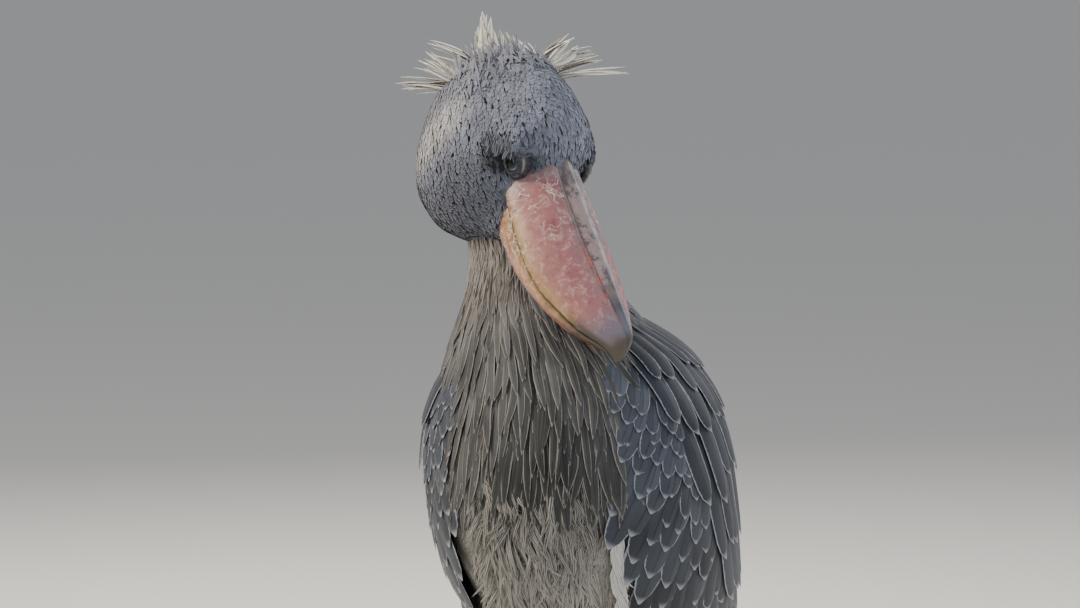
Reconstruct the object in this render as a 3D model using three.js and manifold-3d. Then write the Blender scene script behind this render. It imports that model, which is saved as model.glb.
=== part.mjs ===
// A life-size standing shoebill, in millimetres, +Z up, with its feet on z = 0 and its breast facing -Y.
// Its left side is +X. The head is turned to its left and hangs, so that the bill lies before the left shoulder.
import * as THREE from "three";
import { mergeVertices } from "three/addons/utils/BufferGeometryUtils.js";
import Module from "manifold-3d";

const wasm = await Module();
wasm.setup();

// Driving dimensions
const GAP = 0.3; // between touching pieces
const NECK_CUT = 884; // height of the cut between torso and neck
const BILL_LENGTH = 198; // from the forehead feathers to the nail
const LOWER_LENGTH = 188; // of the lower mandible
const BILL_WIDTH = 106; // widest, at mid length
const HEAD_PLACE = new THREE.Vector3(-7.8, -82.6, 969.3); // middle of the bill's base
const HEAD_YAW = 59; // degrees from the breast's direction towards the left shoulder
const HEAD_PITCH = 49; // degrees below the horizon
const HEAD_ROLL = -11;
const EYE_RADIUS = 11.5;
const EYE_PLACE = new THREE.Vector3(-10, 44, 21); // of the left eyeball's middle, in the head's frame
const LEG_SPREAD = 64; // from the middle plane to each leg
const HOCK_HEIGHT = 250;
const ANKLE_HEIGHT = 34; // where the shank meets the foot
const TOE_RADIUS = 7.5;
const CREST_SUNK = 22; // of each crest feather's root below the crown
const CREST_BEND = 0.05;
const TAIL_FEATHERS = 10;
const GREY = 0x7d8288;
const SLATE = 0x4c5563;
const PALE = 0xb9b7b0;
const HORN = 0xc9a08f;
const SKIN_GREY = 0x5a5a58;

// Smooth value through stations [[position, value, ...], ...], held at both ends.
function along(stations, column = 1) {
  const n = stations.length;
  const at = stations.map((s) => s[0]);
  const value = stations.map((s) => s[column]);
  const slope = at.map((_, i) => {
    if (i === 0 || i === n - 1) return 0;
    const before = (value[i] - value[i - 1]) / (at[i] - at[i - 1]);
    const after = (value[i + 1] - value[i]) / (at[i + 1] - at[i]);
    return before * after <= 0 ? 0 : (2 * before * after) / (before + after);
  });
  slope[0] = (value[1] - value[0]) / (at[1] - at[0]);
  slope[n - 1] = (value[n - 1] - value[n - 2]) / (at[n - 1] - at[n - 2]);
  return (position) => {
    const x = THREE.MathUtils.clamp(position, at[0], at[n - 1]);
    let i = 0;
    while (i < n - 2 && x > at[i + 1]) i += 1;
    const span = at[i + 1] - at[i];
    const t = (x - at[i]) / span;
    const h = t * t * (3 - 2 * t);
    return (
      value[i] * (1 - h) +
      value[i + 1] * h +
      slope[i] * span * t * (1 - t) * (1 - t) -
      slope[i + 1] * span * t * t * (1 - t)
    );
  };
}

// A closed solid from any geometry, faces turned outwards.
function solid(geometry) {
  const bare = geometry.clone();
  bare.deleteAttribute("normal");
  bare.deleteAttribute("uv");
  const merged = mergeVertices(bare, 1e-4);
  const make = (triVerts) =>
    new wasm.Manifold(
      new wasm.Mesh({ numProp: 3, vertProperties: merged.attributes.position.array, triVerts }),
    );
  const triVerts = new Uint32Array(merged.index.array);
  const made = make(triVerts);
  if (made.volume() > 0) return made;
  return make(triVerts.map((_, i) => triVerts[i - (i % 3) + (2 - (i % 3))]));
}

function geometryOf(manifold) {
  const mesh = manifold.getMesh();
  const geometry = new THREE.BufferGeometry();
  geometry.setAttribute("position", new THREE.BufferAttribute(new Float32Array(mesh.vertProperties), 3));
  geometry.setIndex(new THREE.BufferAttribute(new Uint32Array(mesh.triVerts), 1));
  geometry.computeVertexNormals();
  return geometry;
}

// The largest closed surface, which drops scraps and fills sealed hollows.
function largest(manifold) {
  return manifold.decompose().reduce((a, b) => (b.volume() > a.volume() ? b : a));
}

function fuse(...pieces) {
  return largest(wasm.Manifold.union(pieces.flat()));
}

// A sphere's grid, moved so that each point sits at place(share round, share from pole to pole).
function loft(columns, rows, place) {
  const geometry = new THREE.SphereGeometry(1, columns, rows);
  const position = geometry.attributes.position;
  const uv = geometry.attributes.uv;
  for (let i = 0; i < position.count; i += 1) {
    const row = Math.round((1 - uv.getY(i)) * rows);
    const column = Math.round(uv.getX(i) * columns - (row === 0 || row === rows ? 0.5 : 0)) % columns;
    const pole = row === 0 || row === rows;
    const p = place(pole ? 0 : column / columns, row / rows, pole);
    position.setXYZ(i, p.x, p.y, p.z);
  }
  return solid(geometry);
}

// A body of horizontal slices [height, middle x, middle y, half width, half depth], closed at both ends.
function slices(stations, grow, columns, rows, bulge = 1) {
  const low = stations[0][0];
  const high = stations[stations.length - 1][0];
  const [x, y, width, depth] = [1, 2, 3, 4].map((c) => along(stations, c));
  return loft(columns, rows, (around, share, pole) => {
    const z = THREE.MathUtils.lerp(high, low, share);
    const angle = around * 2 * Math.PI;
    const round = pole ? 0 : 1;
    const squash = Math.pow(Math.abs(Math.sin(angle)), bulge) * Math.sign(Math.sin(angle));
    return new THREE.Vector3(
      x(z) + round * squash * (width(z) + grow),
      y(z) - round * Math.cos(angle) * (depth(z) + grow),
      z + grow * Math.cos(Math.PI * share),
    );
  });
}

// A round or oval tube along points with a radius at each, closed and tapered at both ends.
function limb(points, radii, grow, columns, rows, flatten = 1) {
  const curve = new THREE.CatmullRomCurve3(points, false, "centripetal");
  const radius = along(radii);
  const side = new THREE.Vector3(1, 0, 0);
  return loft(columns, rows, (around, share, pole) => {
    const t = THREE.MathUtils.clamp(share, 0, 1);
    const tangent = curve.getTangentAt(t);
    const across = side.clone().addScaledVector(tangent, -side.dot(tangent)).normalize();
    const over = new THREE.Vector3().crossVectors(tangent, across);
    const centre = curve.getPointAt(t);
    if (pole) return centre.addScaledVector(tangent, share === 0 ? -grow : grow);
    const angle = around * 2 * Math.PI;
    const r = radius(t) + grow;
    return centre
      .addScaledVector(across, Math.cos(angle) * r)
      .addScaledVector(over, Math.sin(angle) * r * flatten);
  });
}

// A feather vane: a thin, pointed spindle of four sides through stations of {centre, across, up, half, thick}.
// Both faces are split into triangles alike, so that a bent vane never crosses itself.
function vane(root, tip, stations) {
  const vertices = [root];
  stations.forEach(({ centre, across, up, half, thick }) => {
    const sag = -half * 0.12;
    vertices.push(
      centre.clone().addScaledVector(across, -half).addScaledVector(up, sag),
      centre.clone().addScaledVector(up, thick / 2),
      centre.clone().addScaledVector(across, half).addScaledVector(up, sag),
      centre.clone().addScaledVector(up, -thick / 2),
    );
  });
  vertices.push(tip);
  const index = [];
  const corner = (ring, k) => 1 + ring * 4 + (k % 4);
  const last = vertices.length - 1;
  for (let k = 0; k < 4; k += 1) {
    index.push(0, corner(0, k + 1), corner(0, k));
    index.push(last, corner(stations.length - 1, k), corner(stations.length - 1, k + 1));
  }
  for (let ring = 0; ring < stations.length - 1; ring += 1) {
    for (let k = 0; k < 4; k += 1) {
      const [a, b] = [corner(ring, k), corner(ring, k + 1)];
      const [c, d] = [corner(ring + 1, k + 1), corner(ring + 1, k)];
      const alike = k % 2 === 0;
      if (alike) index.push(a, b, c, a, c, d);
      else index.push(a, b, d, b, c, d);
    }
  }
  const geometry = new THREE.BufferGeometry();
  geometry.setAttribute("position", new THREE.Float32BufferAttribute(vertices.flatMap((v) => v.toArray()), 3));
  geometry.setIndex(index);
  return solid(geometry);
}

// Repeatable variation from -1 to 1.
function vary(seed) {
  const s = Math.sin(seed * 127.1 + 11.7) * 43758.5453;
  return (s - Math.floor(s)) * 2 - 1;
}

function boxBelow(height) {
  const size = 4000;
  return solid(new THREE.BoxGeometry(size, size, size).translate(0, 0, height - size / 2));
}

// Slices of the bird: [height, middle x, middle y, half width, half depth]
const TRUNK = [
  [458, 0, 178, 14, 24],
  [470, 0, 168, 40, 58],
  [490, 0, 142, 60, 92],
  [520, 0, 104, 82, 122],
  [560, 0, 60, 106, 150],
  [600, 0, 36, 119, 158],
  [640, 0, 20, 127, 159],
  [680, 0, 9, 130, 156],
  [720, 0, 0, 129, 147],
  [760, -1, -7, 122, 134],
  [800, -7, -14, 107, 117],
  [840, -20, -20, 82, 96],
  [870, -26, -26, 68, 79],
  [900, -28, -34, 61, 67],
  [930, -36, -44, 54, 60],
  [960, -40, -56, 48, 52],
  [985, -42, -66, 30, 34],
];
const WINGED = [
  [372, 0, 392, 8, 10],
  [392, 0, 358, 26, 42],
  [415, 0, 306, 50, 84],
  [440, 0, 246, 76, 122],
  [480, 0, 168, 106, 156],
  [520, 0, 108, 126, 174],
  [560, 0, 66, 139, 180],
  [600, 0, 40, 147, 178],
  [640, 0, 24, 151, 174],
  [680, 0, 13, 152, 167],
  [720, 0, 4, 149, 158],
  [760, -1, -2, 140, 145],
  [800, -4, -8, 121, 126],
  [832, -14, -14, 92, 102],
  [850, -18, -20, 66, 74],
];

// A point and the outward direction on a sliced body: turn is in degrees from the front towards the left.
function skinOf(stations) {
  const [x, y, width, depth] = [1, 2, 3, 4].map((c) => along(stations, c));
  const point = (turn, z) => {
    const a = THREE.MathUtils.degToRad(turn);
    return new THREE.Vector3(x(z) + Math.sin(a) * width(z), y(z) - Math.cos(a) * depth(z), z);
  };
  const outward = (turn, z) => {
    const round = point(turn + 1, z).sub(point(turn - 1, z));
    const rise = point(turn, z + 2).sub(point(turn, z - 2));
    return round.cross(rise).normalize();
  };
  return { point, outward };
}
const trunkSkin = skinOf(TRUNK);
const wingedSkin = skinOf(WINGED);

// A vane that lies on a sliced body, from root to tip {turn, z}, lifted off it by lift[0] to lift[1].
function lyingVane(skin, root, tip, half, thick, lift, { rings = 3, blunt = 0.72, grow = 0 } = {}) {
  const at = (t) => {
    const turn = THREE.MathUtils.lerp(root.turn, tip.turn, t);
    const z = THREE.MathUtils.lerp(root.z, tip.z, t);
    const up = skin.outward(turn, z);
    const raise = THREE.MathUtils.lerp(lift[0], lift[1], Math.sqrt(Math.max(t, 0)));
    return { place: skin.point(turn, z).addScaledVector(up, raise), up };
  };
  const stations = [];
  for (let i = 0; i < rings; i += 1) {
    const t = 0.06 + (0.86 * i) / (rings - 1);
    const here = at(t);
    const way = at(t + 0.04).place.sub(at(t - 0.04).place).normalize();
    const swell = Math.sin(Math.PI * Math.pow(0.12 + 0.8 * t, blunt * 1.6));
    const across = new THREE.Vector3().crossVectors(here.up, way).normalize();
    stations.push({
      centre: here.place,
      across,
      up: new THREE.Vector3().crossVectors(way, across).normalize(),
      half: half * Math.max(0.34, swell) + grow,
      thick: thick + 2 * grow,
    });
  }
  const beyond = (end, ring) => end.add(end.clone().sub(ring).setLength(2.5 * grow));
  const [first, last] = [stations[0].centre, stations[rings - 1].centre];
  return vane(beyond(at(0).place, first), beyond(at(1).place, last), stations);
}

// Head, in its own frame: +X along the bill, +Y to its left, the origin at the middle of the bill's base.
const HEAD = [
  // [x, half width, top, bottom]
  [-140, 10, -4, -22],
  [-132, 36, 28, -56],
  [-116, 46, 54, -84],
  [-92, 58, 70, -106],
  [-62, 65, 76, -117],
  [-34, 68, 74, -113],
  [-12, 63, 63, -100],
  [0, 56, 47, -90],
  [15, 47, 24, -70],
  [26, 44, 4, -58],
  [34, 30, -12, -46],
  [38, 10, -26, -36],
];
const CULMEN = [[-30, 46], [0, 44], [50, 37], [100, 30], [150, 23], [175, 19], [186, 16], [193, 8], [198, -4]];
const TOMIUM = [[-30, -3], [0, -6], [23, -10], [69, -18], [108, -21], [142, -17], [163, -14], [184, -9], [192, -9], [198, -13]];
const BILL_HALF = [[-30, 0.74], [0, 0.85], [30, 0.94], [60, 0.99], [84, 1], [110, 0.95], [138, 0.8], [160, 0.6], [178, 0.37], [190, 0.2], [202, 0.08]];
const KEEL = [[-30, -40], [0, -46], [30, -51], [70, -51], [105, -45], [132, -39], [153, -32], [171, -23], [188, -14]];
// Half sections, from the underside's middle to the ridge: [share of half width, share of height]
const UPPER_SECTION = [[0, 0.12], [0.5, 0.1], [0.88, 0.06], [1, 0], [1.02, 0.14], [0.93, 0.36], [0.74, 0.6], [0.5, 0.78], [0.32, 0.87], [0.22, 0.86], [0.14, 0.96], [0, 1]];
const LOWER_SECTION = [[0, 0.06], [0.55, 0.05], [0.93, 0], [0.99, 0.14], [0.93, 0.5], [0.7, 0.84], [0.36, 0.98], [0, 1]];

function headSolid(grow) {
  const [width, top, bottom] = [1, 2, 3].map((c) => along(HEAD, c));
  const [back, front] = [HEAD[0][0], HEAD[HEAD.length - 1][0]];
  return loft(22, 15, (around, share, pole) => {
    const ease = 0.5 - 0.5 * Math.cos(Math.PI * share);
    const x = THREE.MathUtils.lerp(back, front, ease);
    const shift = grow * (2 * share - 1);
    const middle = (top(x) + bottom(x)) / 2;
    if (pole) return new THREE.Vector3(x + shift, 0, middle);
    const angle = around * 2 * Math.PI;
    const high = (top(x) - bottom(x)) / 2 + grow;
    const lobe = brow(x, angle);
    return new THREE.Vector3(
      x + shift,
      Math.sin(angle) * (width(x) + grow) * (1 + 0.14 * lobe - 0.08 * Math.cos(angle)),
      middle + Math.cos(angle) * high * (1 + 0.02 * lobe),
    );
  });
}

// The feathered brow swells out above each eye, and the crown dips between the two.
function brow(x, angle) {
  const along_ = Math.exp(-(((x + 22) / 26) ** 2));
  const side = Math.abs(Math.sin(angle));
  const high = Math.max(0, Math.cos(angle));
  return along_ * high * (side * 2 - 0.5);
}

function billSolid(section, edge, far, lastX, rows, grow, widthFor) {
  const rise = Math.sign(far[0][1] - edge[0][1]) * grow;
  const full = [...section, ...section.slice(1, -1).reverse().map(([y, z]) => [-y, z])];
  const [low, high] = [along(edge), along(far)];
  const half = along(BILL_HALF);
  return loft(full.length, rows, (around, share, pole) => {
    const ease = Math.sin((share * Math.PI) / 2);
    const x = THREE.MathUtils.lerp(-30, lastX, ease);
    const [y, z] = pole ? [0, 0.5] : full[Math.round(around * full.length)];
    const height = low(x) - rise + (high(x) - low(x) + 2 * rise) * z;
    const out = (BILL_WIDTH / 2) * half(x) * widthFor;
    return new THREE.Vector3(x + grow * (2 * share - 1), y * (out + grow), height);
  });
}

const ball = (x, y, z, r, columns = 16, rows = 12) =>
  solid(new THREE.SphereGeometry(r, columns, rows).rotateX(Math.PI / 2).translate(x, y, z));

function eyeSocket(side, grow) {
  return ball(EYE_PLACE.x, side * EYE_PLACE.y, EYE_PLACE.z, EYE_RADIUS + grow, 12, 8);
}

// A lid: a low ring of flesh round the eye, heavier above it.
function lid(side) {
  const ring = new THREE.TorusGeometry(EYE_RADIUS * 0.86, 3.4, 5, 14);
  ring.rotateX(-side * (Math.PI / 2) * 0.96);
  ring.rotateZ(-side * 0.28);
  ring.translate(EYE_PLACE.x + 2, side * (EYE_PLACE.y + 6.6), EYE_PLACE.z + 0.5);
  return solid(ring);
}

// Crest feathers stand in three fans at the back of the crown: [root, tip, half width], in the head's frame
const CREST = [
  [[-137, -25, -25], [-163, -54, -56], 4.4],
  [[-130, -29, -24], [-158, -47, -57], 4.0],
  [[-143, -16, -20], [-181, -28, -38], 4.2],
  [[-142, -20, -13], [-181, -29, -25], 4.4],
  [[-144, -16, 7], [-181, -37, -13], 4.6],
  [[-142, 3, 6], [-176, 2, 17], 4.4],
  [[-137, 0, 12], [-193, 12, 28], 5.4],
  [[-130, -1, 17], [-168, 11, 31], 4.6],
  [[-138, 16, 20], [-163, 11, 37], 4.6],
  [[-131, 19, 34], [-165, 26, 33], 4.2],
  [[-123, 24, 45], [-154, 36, 34], 4.4],
  [[-123, 39, 41], [-133, 54, 71], 4.4],
  [[-118, 37, 48], [-129, 62, 75], 4.6],
  [[-110, 42, 61], [-127, 76, 66], 4.2],
  [[-114, 55, 55], [-112, 83, 74], 4.4],
  [[-102, 50, 54], [-98, 78, 81], 4.2],
  [[-94, 48, 56], [-82, 102, 85], 4.4],
];

function crestFeather([rootPlace, tipPlace, half], i) {
  const tip = new THREE.Vector3(...tipPlace);
  const root = new THREE.Vector3(...rootPlace);
  const way = tip.clone().sub(root);
  const length = way.length();
  way.normalize();
  root.addScaledVector(way, -CREST_SUNK);
  const away = root.clone().sub(new THREE.Vector3(-60, 0, -16)).normalize();
  const across = new THREE.Vector3().crossVectors(away, way).normalize();
  const up = new THREE.Vector3().crossVectors(way, across);
  const bend = CREST_BEND * length * (1 + 0.4 * vary(i));
  const at = (t) => root.clone().addScaledVector(way, t * (length + CREST_SUNK)).addScaledVector(up, bend * 4 * t * (1 - t));
  const stations = [0.16, 0.44, 0.7, 0.9].map((t, k) => ({
    centre: at(t),
    across,
    up,
    half: half * [0.6, 0.95, 1, 0.6][k],
    thick: 2.4 - 0.35 * k,
  }));
  return vane(at(0), at(1), stations);
}

const headFrame = new THREE.Matrix4()
  .makeTranslation(HEAD_PLACE.x, HEAD_PLACE.y, HEAD_PLACE.z)
  .multiply(new THREE.Matrix4().makeRotationZ(THREE.MathUtils.degToRad(HEAD_YAW - 90)))
  .multiply(new THREE.Matrix4().makeRotationY(THREE.MathUtils.degToRad(HEAD_PITCH)))
  .multiply(new THREE.Matrix4().makeRotationX(THREE.MathUtils.degToRad(HEAD_ROLL)));
const placed = (manifold, matrix) => manifold.transform(matrix.elements);

// Nostril: a narrow slit in the groove beside the ridge.
function nostril(side) {
  const slit = new THREE.SphereGeometry(1, 8, 6).scale(7, 1.6, 3);
  slit.rotateY(0.14);
  slit.translate(26, side * BILL_WIDTH * 0.125, 36);
  return solid(slit);
}

function buildHead() {
  const core = headSolid(0);
  const whole = fuse(core, lid(1), lid(-1), CREST.map(crestFeather));
  const sockets = wasm.Manifold.union([eyeSocket(1, GAP), eyeSocket(-1, GAP)]);
  return largest(whole.subtract(sockets));
}

function buildBill() {
  const cut = headSolid(GAP * 2);
  const upper = billSolid(UPPER_SECTION, TOMIUM, CULMEN, BILL_LENGTH, 15, 0, 1);
  const lower = billSolid(LOWER_SECTION, TOMIUM, KEEL, LOWER_LENGTH, 12, 0, 0.94);
  const reach = billSolid(UPPER_SECTION, TOMIUM, CULMEN, BILL_LENGTH, 15, 0, 1).translate([0, 0, -GAP * 2]);
  const nostrils = wasm.Manifold.union([nostril(1), nostril(-1)]);
  return {
    upper: largest(upper.subtract(cut).subtract(nostrils)),
    lower: largest(lower.subtract(cut).subtract(upper).subtract(reach)),
  };
}

// Long, narrow plumes hang in rows from the lower neck and breast.
// Rows: [root height, tip height, count, widest turn, half width]
const PLUME_ROWS = [
  [704, 626, 8, 26, 7.6],
  [748, 664, 8, 30, 7.2],
  [790, 706, 8, 42, 6.8],
  [830, 750, 8, 54, 6.2],
  [868, 796, 7, 60, 5.6],
];

function plumes() {
  return PLUME_ROWS.flatMap(([high, low, count, spread, half], row) =>
    Array.from({ length: count }, (_, i) => {
      const seed = row * 31 + i;
      const share = (i / (count - 1)) * 2 - 1;
      const turn = share * spread + vary(seed) * 2;
      const drop = vary(seed + 400) * 9;
      const root = { turn: turn * 0.98, z: high + drop };
      const tip = { turn: turn * 1.04 + vary(seed + 90) * 2, z: low + drop };
      return lyingVane(trunkSkin, root, tip, half, 2.2, [-5, 5 + (seed % 3)]);
    }),
  );
}

// Loose tufts hang from the lower belly.
function bellyTufts() {
  const count = 7;
  return Array.from({ length: count }, (_, i) => {
    const turn = (i / (count - 1) - 0.5) * 76 + vary(i + 7) * 3;
    const root = { turn, z: 606 + vary(i) * 8 };
    return lyingVane(trunkSkin, root, { turn: turn * 0.98, z: 556 + vary(i + 50) * 9 }, 9, 3, [-6, 7], { rings: 3 });
  });
}

// Mantle feathers lie down the back between the wings.
function mantle() {
  const rows = [[840, 780, 4, 46], [804, 740, 4, 38], [766, 698, 3, 22]];
  return rows.flatMap(([high, low, count, spread], row) =>
    Array.from({ length: count }, (_, i) => {
      const turn = 180 + ((i / (count - 1)) * 2 - 1) * spread;
      const root = { turn, z: high + vary(row * 9 + i) * 5 };
      return lyingVane(trunkSkin, root, { turn: 180 + (turn - 180) * 0.92, z: low }, 13, 2.4, [-5, 4]);
    }),
  );
}

// The folded wing's own body: a curved slab between its front and back edges.
const WING_FRONT = [[398, 150], [440, 114], [480, 84], [520, 64], [560, 52], [600, 46], [650, 42], [700, 41], [750, 47], [800, 62], [836, 82]];
const WING_BACK = [[398, 177], [440, 177], [520, 176], [580, 172], [640, 162], [700, 151], [760, 138], [800, 126], [836, 112]];
const WING_LOW = 402;
const WING_HIGH = 832;
const WING_INSET = 8; // how far the slab lies under the outermost vanes
const WING_THICK = 15;

function wingSlab(grow) {
  const [frontEdge, backEdge] = [along(WING_FRONT), along(WING_BACK)];
  const [columns, rows] = [7, 8];
  const vertices = [];
  [0, 1].forEach((inside) => {
    for (let r = 0; r <= rows; r += 1) {
      const z = THREE.MathUtils.lerp(WING_LOW - grow, WING_HIGH + grow, r / rows);
      for (let c = 0; c <= columns; c += 1) {
        const turn = THREE.MathUtils.lerp(frontEdge(z) - grow, backEdge(z) + grow, c / columns);
        const rim = Math.min(1, 2.4 * Math.min(c / columns, 1 - c / columns) + 0.2);
        const depth = WING_INSET + (inside ? WING_THICK * rim + 2 + grow : 3 * (1 - rim) - grow);
        const p = wingedSkin.point(turn, z).addScaledVector(wingedSkin.outward(turn, z), -depth);
        p.x = Math.max(p.x, 2 - grow);
        vertices.push(p);
      }
    }
  });
  const width = columns + 1;
  const half = width * (rows + 1);
  const index = [];
  const quad = (a, b, c, d) => index.push(a, b, c, a, c, d);
  for (let r = 0; r < rows; r += 1) {
    for (let c = 0; c < columns; c += 1) {
      const a = r * width + c;
      quad(a, a + 1, a + 1 + width, a + width);
      index.push(half + a, half + a + 1 + width, half + a + 1);
      index.push(half + a, half + a + width, half + a + 1 + width);
    }
  }
  for (let c = 0; c < columns; c += 1) {
    const top = rows * width + c;
    quad(c + half, c + 1 + half, c + 1, c);
    quad(top, top + 1, top + 1 + half, top + half);
  }
  for (let r = 0; r < rows; r += 1) {
    const a = r * width;
    const b = a + columns;
    quad(a, a + width, a + width + half, a + half);
    quad(b + half, b + width + half, b + width, b);
  }
  const geometry = new THREE.BufferGeometry();
  geometry.setAttribute("position", new THREE.Float32BufferAttribute(vertices.flatMap((v) => v.toArray()), 3));
  geometry.setIndex(index);
  return solid(geometry);
}

// Tiers of the left wing, from the deepest to the outermost:
// {count, first and last root, first and last tip as [turn, z], half width, lift}
const WING_TIERS = [
  { count: 5, roots: [[152, 575], [100, 560]], tips: [[177, 396], [134, 412]], half: 17, lift: [-15, -7] },
  { count: 6, roots: [[122, 620], [60, 620]], tips: [[126, 436], [50, 492]], half: 19, lift: [-15, -6] },
  { count: 7, roots: [[126, 690], [58, 690]], tips: [[130, 524], [38, 572]], half: 17, lift: [-14, -4] },
  { count: 7, roots: [[116, 748], [60, 738]], tips: [[108, 612], [34, 634]], half: 15, lift: [-14, -2] },
  { count: 5, roots: [[98, 792], [57, 782]], tips: [[88, 694], [31, 690]], half: 14, lift: [-13, 0] },
  { count: 3, roots: [[170, 650], [144, 690]], tips: [[174, 508], [140, 520]], half: 18, lift: [-14, -4] },
  { count: 4, roots: [[150, 738], [90, 770]], tips: [[152, 608], [98, 626]], half: 16, lift: [-14, -1] },
  { count: 4, roots: [[136, 794], [76, 812]], tips: [[140, 700], [82, 706]], half: 14, lift: [-13, 1] },
];

function wingVanes(grow) {
  return WING_TIERS.flatMap(({ count, roots, tips, half, lift }, tier) =>
    Array.from({ length: count }, (_, i) => {
      const share = i / (count - 1);
      const seed = tier * 17 + i;
      const mix = (pair, k) => THREE.MathUtils.lerp(pair[0][k], pair[1][k], share);
      const root = { turn: mix(roots, 0), z: mix(roots, 1) };
      const tip = { turn: mix(tips, 0) + vary(seed), z: mix(tips, 1) + vary(seed + 60) * 5 };
      const stack = (i % 2) * 1.1;
      return lyingVane(wingedSkin, root, tip, half, 2, [lift[0], lift[1] + stack], { blunt: 0.6, grow });
    }),
  );
}

const TAIL_ROOT = new THREE.Vector3(0, 196, 506);
const TAIL_LENGTH = 214;
const TAIL_SLOPE = 48; // degrees below the horizon
const TAIL_SPREAD = 13; // degrees to each side

function buildTail(trunk, wings) {
  const slope = THREE.MathUtils.degToRad(TAIL_SLOPE);
  const up = new THREE.Vector3(0, Math.sin(slope), Math.cos(slope));
  const feathers = Array.from({ length: TAIL_FEATHERS }, (_, i) => {
    const share = (i / (TAIL_FEATHERS - 1)) * 2 - 1;
    const turn = THREE.MathUtils.degToRad(share * TAIL_SPREAD);
    const way = new THREE.Vector3(Math.sin(turn), Math.cos(turn) * Math.cos(slope), -Math.cos(turn) * Math.sin(slope));
    const across = new THREE.Vector3().crossVectors(up, way).normalize();
    const root = TAIL_ROOT.clone();
    root.x += share * 12;
    const layer = -Math.abs(share) * 9 - (i % 2) * 1.6;
    const length = TAIL_LENGTH * (1 - 0.05 * share * share);
    const at = (t) => root.clone().addScaledVector(way, t * length).addScaledVector(up, layer * Math.min(1, t * 2));
    const stations = [0.1, 0.55, 0.92].map((t, k) => ({
      centre: at(t),
      across,
      up,
      half: [7, 15, 14][k],
      thick: [5, 2.2, 1.4][k],
    }));
    return vane(at(0), at(1), stations);
  });
  const base = solid(
    new THREE.SphereGeometry(1, 12, 8)
      .scale(30, 66, 17)
      .rotateX(-slope)
      .translate(0, TAIL_ROOT.y + 34, TAIL_ROOT.z - 38),
  );
  return largest(fuse(base, feathers).subtract(trunk).subtract(wings));
}

const LEG = [
  new THREE.Vector3(LEG_SPREAD - 8, 34, 612),
  new THREE.Vector3(LEG_SPREAD - 2, 22, 540),
  new THREE.Vector3(LEG_SPREAD, 32, 460),
  new THREE.Vector3(LEG_SPREAD, 52, 380),
];
const THIGH_RADII = [[0, 50], [0.25, 60], [0.55, 46], [0.8, 28], [0.95, 17], [1, 12]];
const SHANK = [
  new THREE.Vector3(LEG_SPREAD, 48, 396),
  new THREE.Vector3(LEG_SPREAD, 62, 330),
  new THREE.Vector3(LEG_SPREAD, 74, HOCK_HEIGHT),
  new THREE.Vector3(LEG_SPREAD, 56, 140),
  new THREE.Vector3(LEG_SPREAD, 36, 16),
];
const SHANK_RADII = [[0, 9.5], [0.16, 9.5], [0.29, 11], [0.37, 15.5], [0.45, 11.5], [0.6, 8.6], [0.85, 9.4], [1, 11]];
// Toes: [name, degrees outwards from straight ahead, length, radius]
const TOES = [
  ["middle", 6, 150, 1],
  ["inner", -26, 106, 0.94],
  ["outer", 36, 128, 0.94],
  ["hind", 166, 66, 0.88],
];
const FOOT_Y = 34;

function toePoints(turn, length) {
  const angle = THREE.MathUtils.degToRad(turn);
  const way = new THREE.Vector3(Math.sin(angle), -Math.cos(angle), 0);
  const at = (d, z) => new THREE.Vector3(LEG_SPREAD, FOOT_Y, z).addScaledVector(way, d);
  return { way, points: [at(-4, 20), at(16, 13), at(length * 0.4, 5.8), at(length * 0.75, 5), at(length, 4.4)] };
}

function toe(turn, length, size, grow) {
  const r = TOE_RADIUS * size;
  const knuckles = [[0, r * 1.2], [0.14, r * 1.25], [0.26, r * 0.95], [0.4, r * 1.1], [0.52, r * 0.86], [0.66, r * 1], [0.78, r * 0.76], [0.9, r * 0.84], [1, r * 0.5]];
  return limb(toePoints(turn, length).points, knuckles, grow, 6, 9);
}

function claw(turn, length, size) {
  const { way } = toePoints(turn, length);
  const from = new THREE.Vector3(LEG_SPREAD, FOOT_Y, 5).addScaledVector(way, length - 6);
  const mid = from.clone().addScaledVector(way, 17).setZ(6.2);
  const end = from.clone().addScaledVector(way, 31).setZ(1.2);
  const radii = [[0, 4.6 * size], [0.3, 4.4 * size], [0.7, 2.6 * size], [1, 0.7]];
  return limb([from, mid, end], radii, 0, 6, 6).subtract(toe(turn, length, size, GAP));
}

function buildLeg(trunk, wing) {
  const thighWhole = limb(LEG, THIGH_RADII, 0, 12, 8);
  const thigh = largest(thighWhole.subtract(trunk).subtract(wing));
  const thighGrown = limb(LEG, THIGH_RADII, GAP, 12, 8);
  const aboveFoot = boxBelow(ANKLE_HEIGHT + GAP);
  const shank = largest(limb(SHANK, SHANK_RADII, 0, 8, 16).subtract(thighGrown).subtract(aboveFoot));
  const ankle = limb(SHANK, SHANK_RADII, 0, 8, 16).subtract(boxBelow(14)).intersect(boxBelow(ANKLE_HEIGHT));
  const pad = solid(new THREE.SphereGeometry(1, 12, 8).scale(14, 17, 15).translate(LEG_SPREAD, FOOT_Y - 3, 11));
  const toes = TOES.map(([, turn, length, size]) => toe(turn, length, size, 0));
  const floor = boxBelow(0);
  const foot = largest(fuse(pad, ankle, toes).subtract(floor).intersect(boxBelow(ANKLE_HEIGHT)));
  const claws = TOES.map(([name, turn, length, size]) => [name, largest(claw(turn, length, size).subtract(floor))]);
  return { thigh, shank, foot, claws };
}

const bird = new THREE.Group();

function add(name, manifold, colour, roughness, parent = bird) {
  const material = new THREE.MeshStandardMaterial({ color: colour, roughness, metalness: 0 });
  const mesh = new THREE.Mesh(geometryOf(manifold), material);
  mesh.name = name;
  parent.add(mesh);
  return mesh;
}

const mirrored = (manifold) => manifold.mirror([1, 0, 0]);

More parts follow.
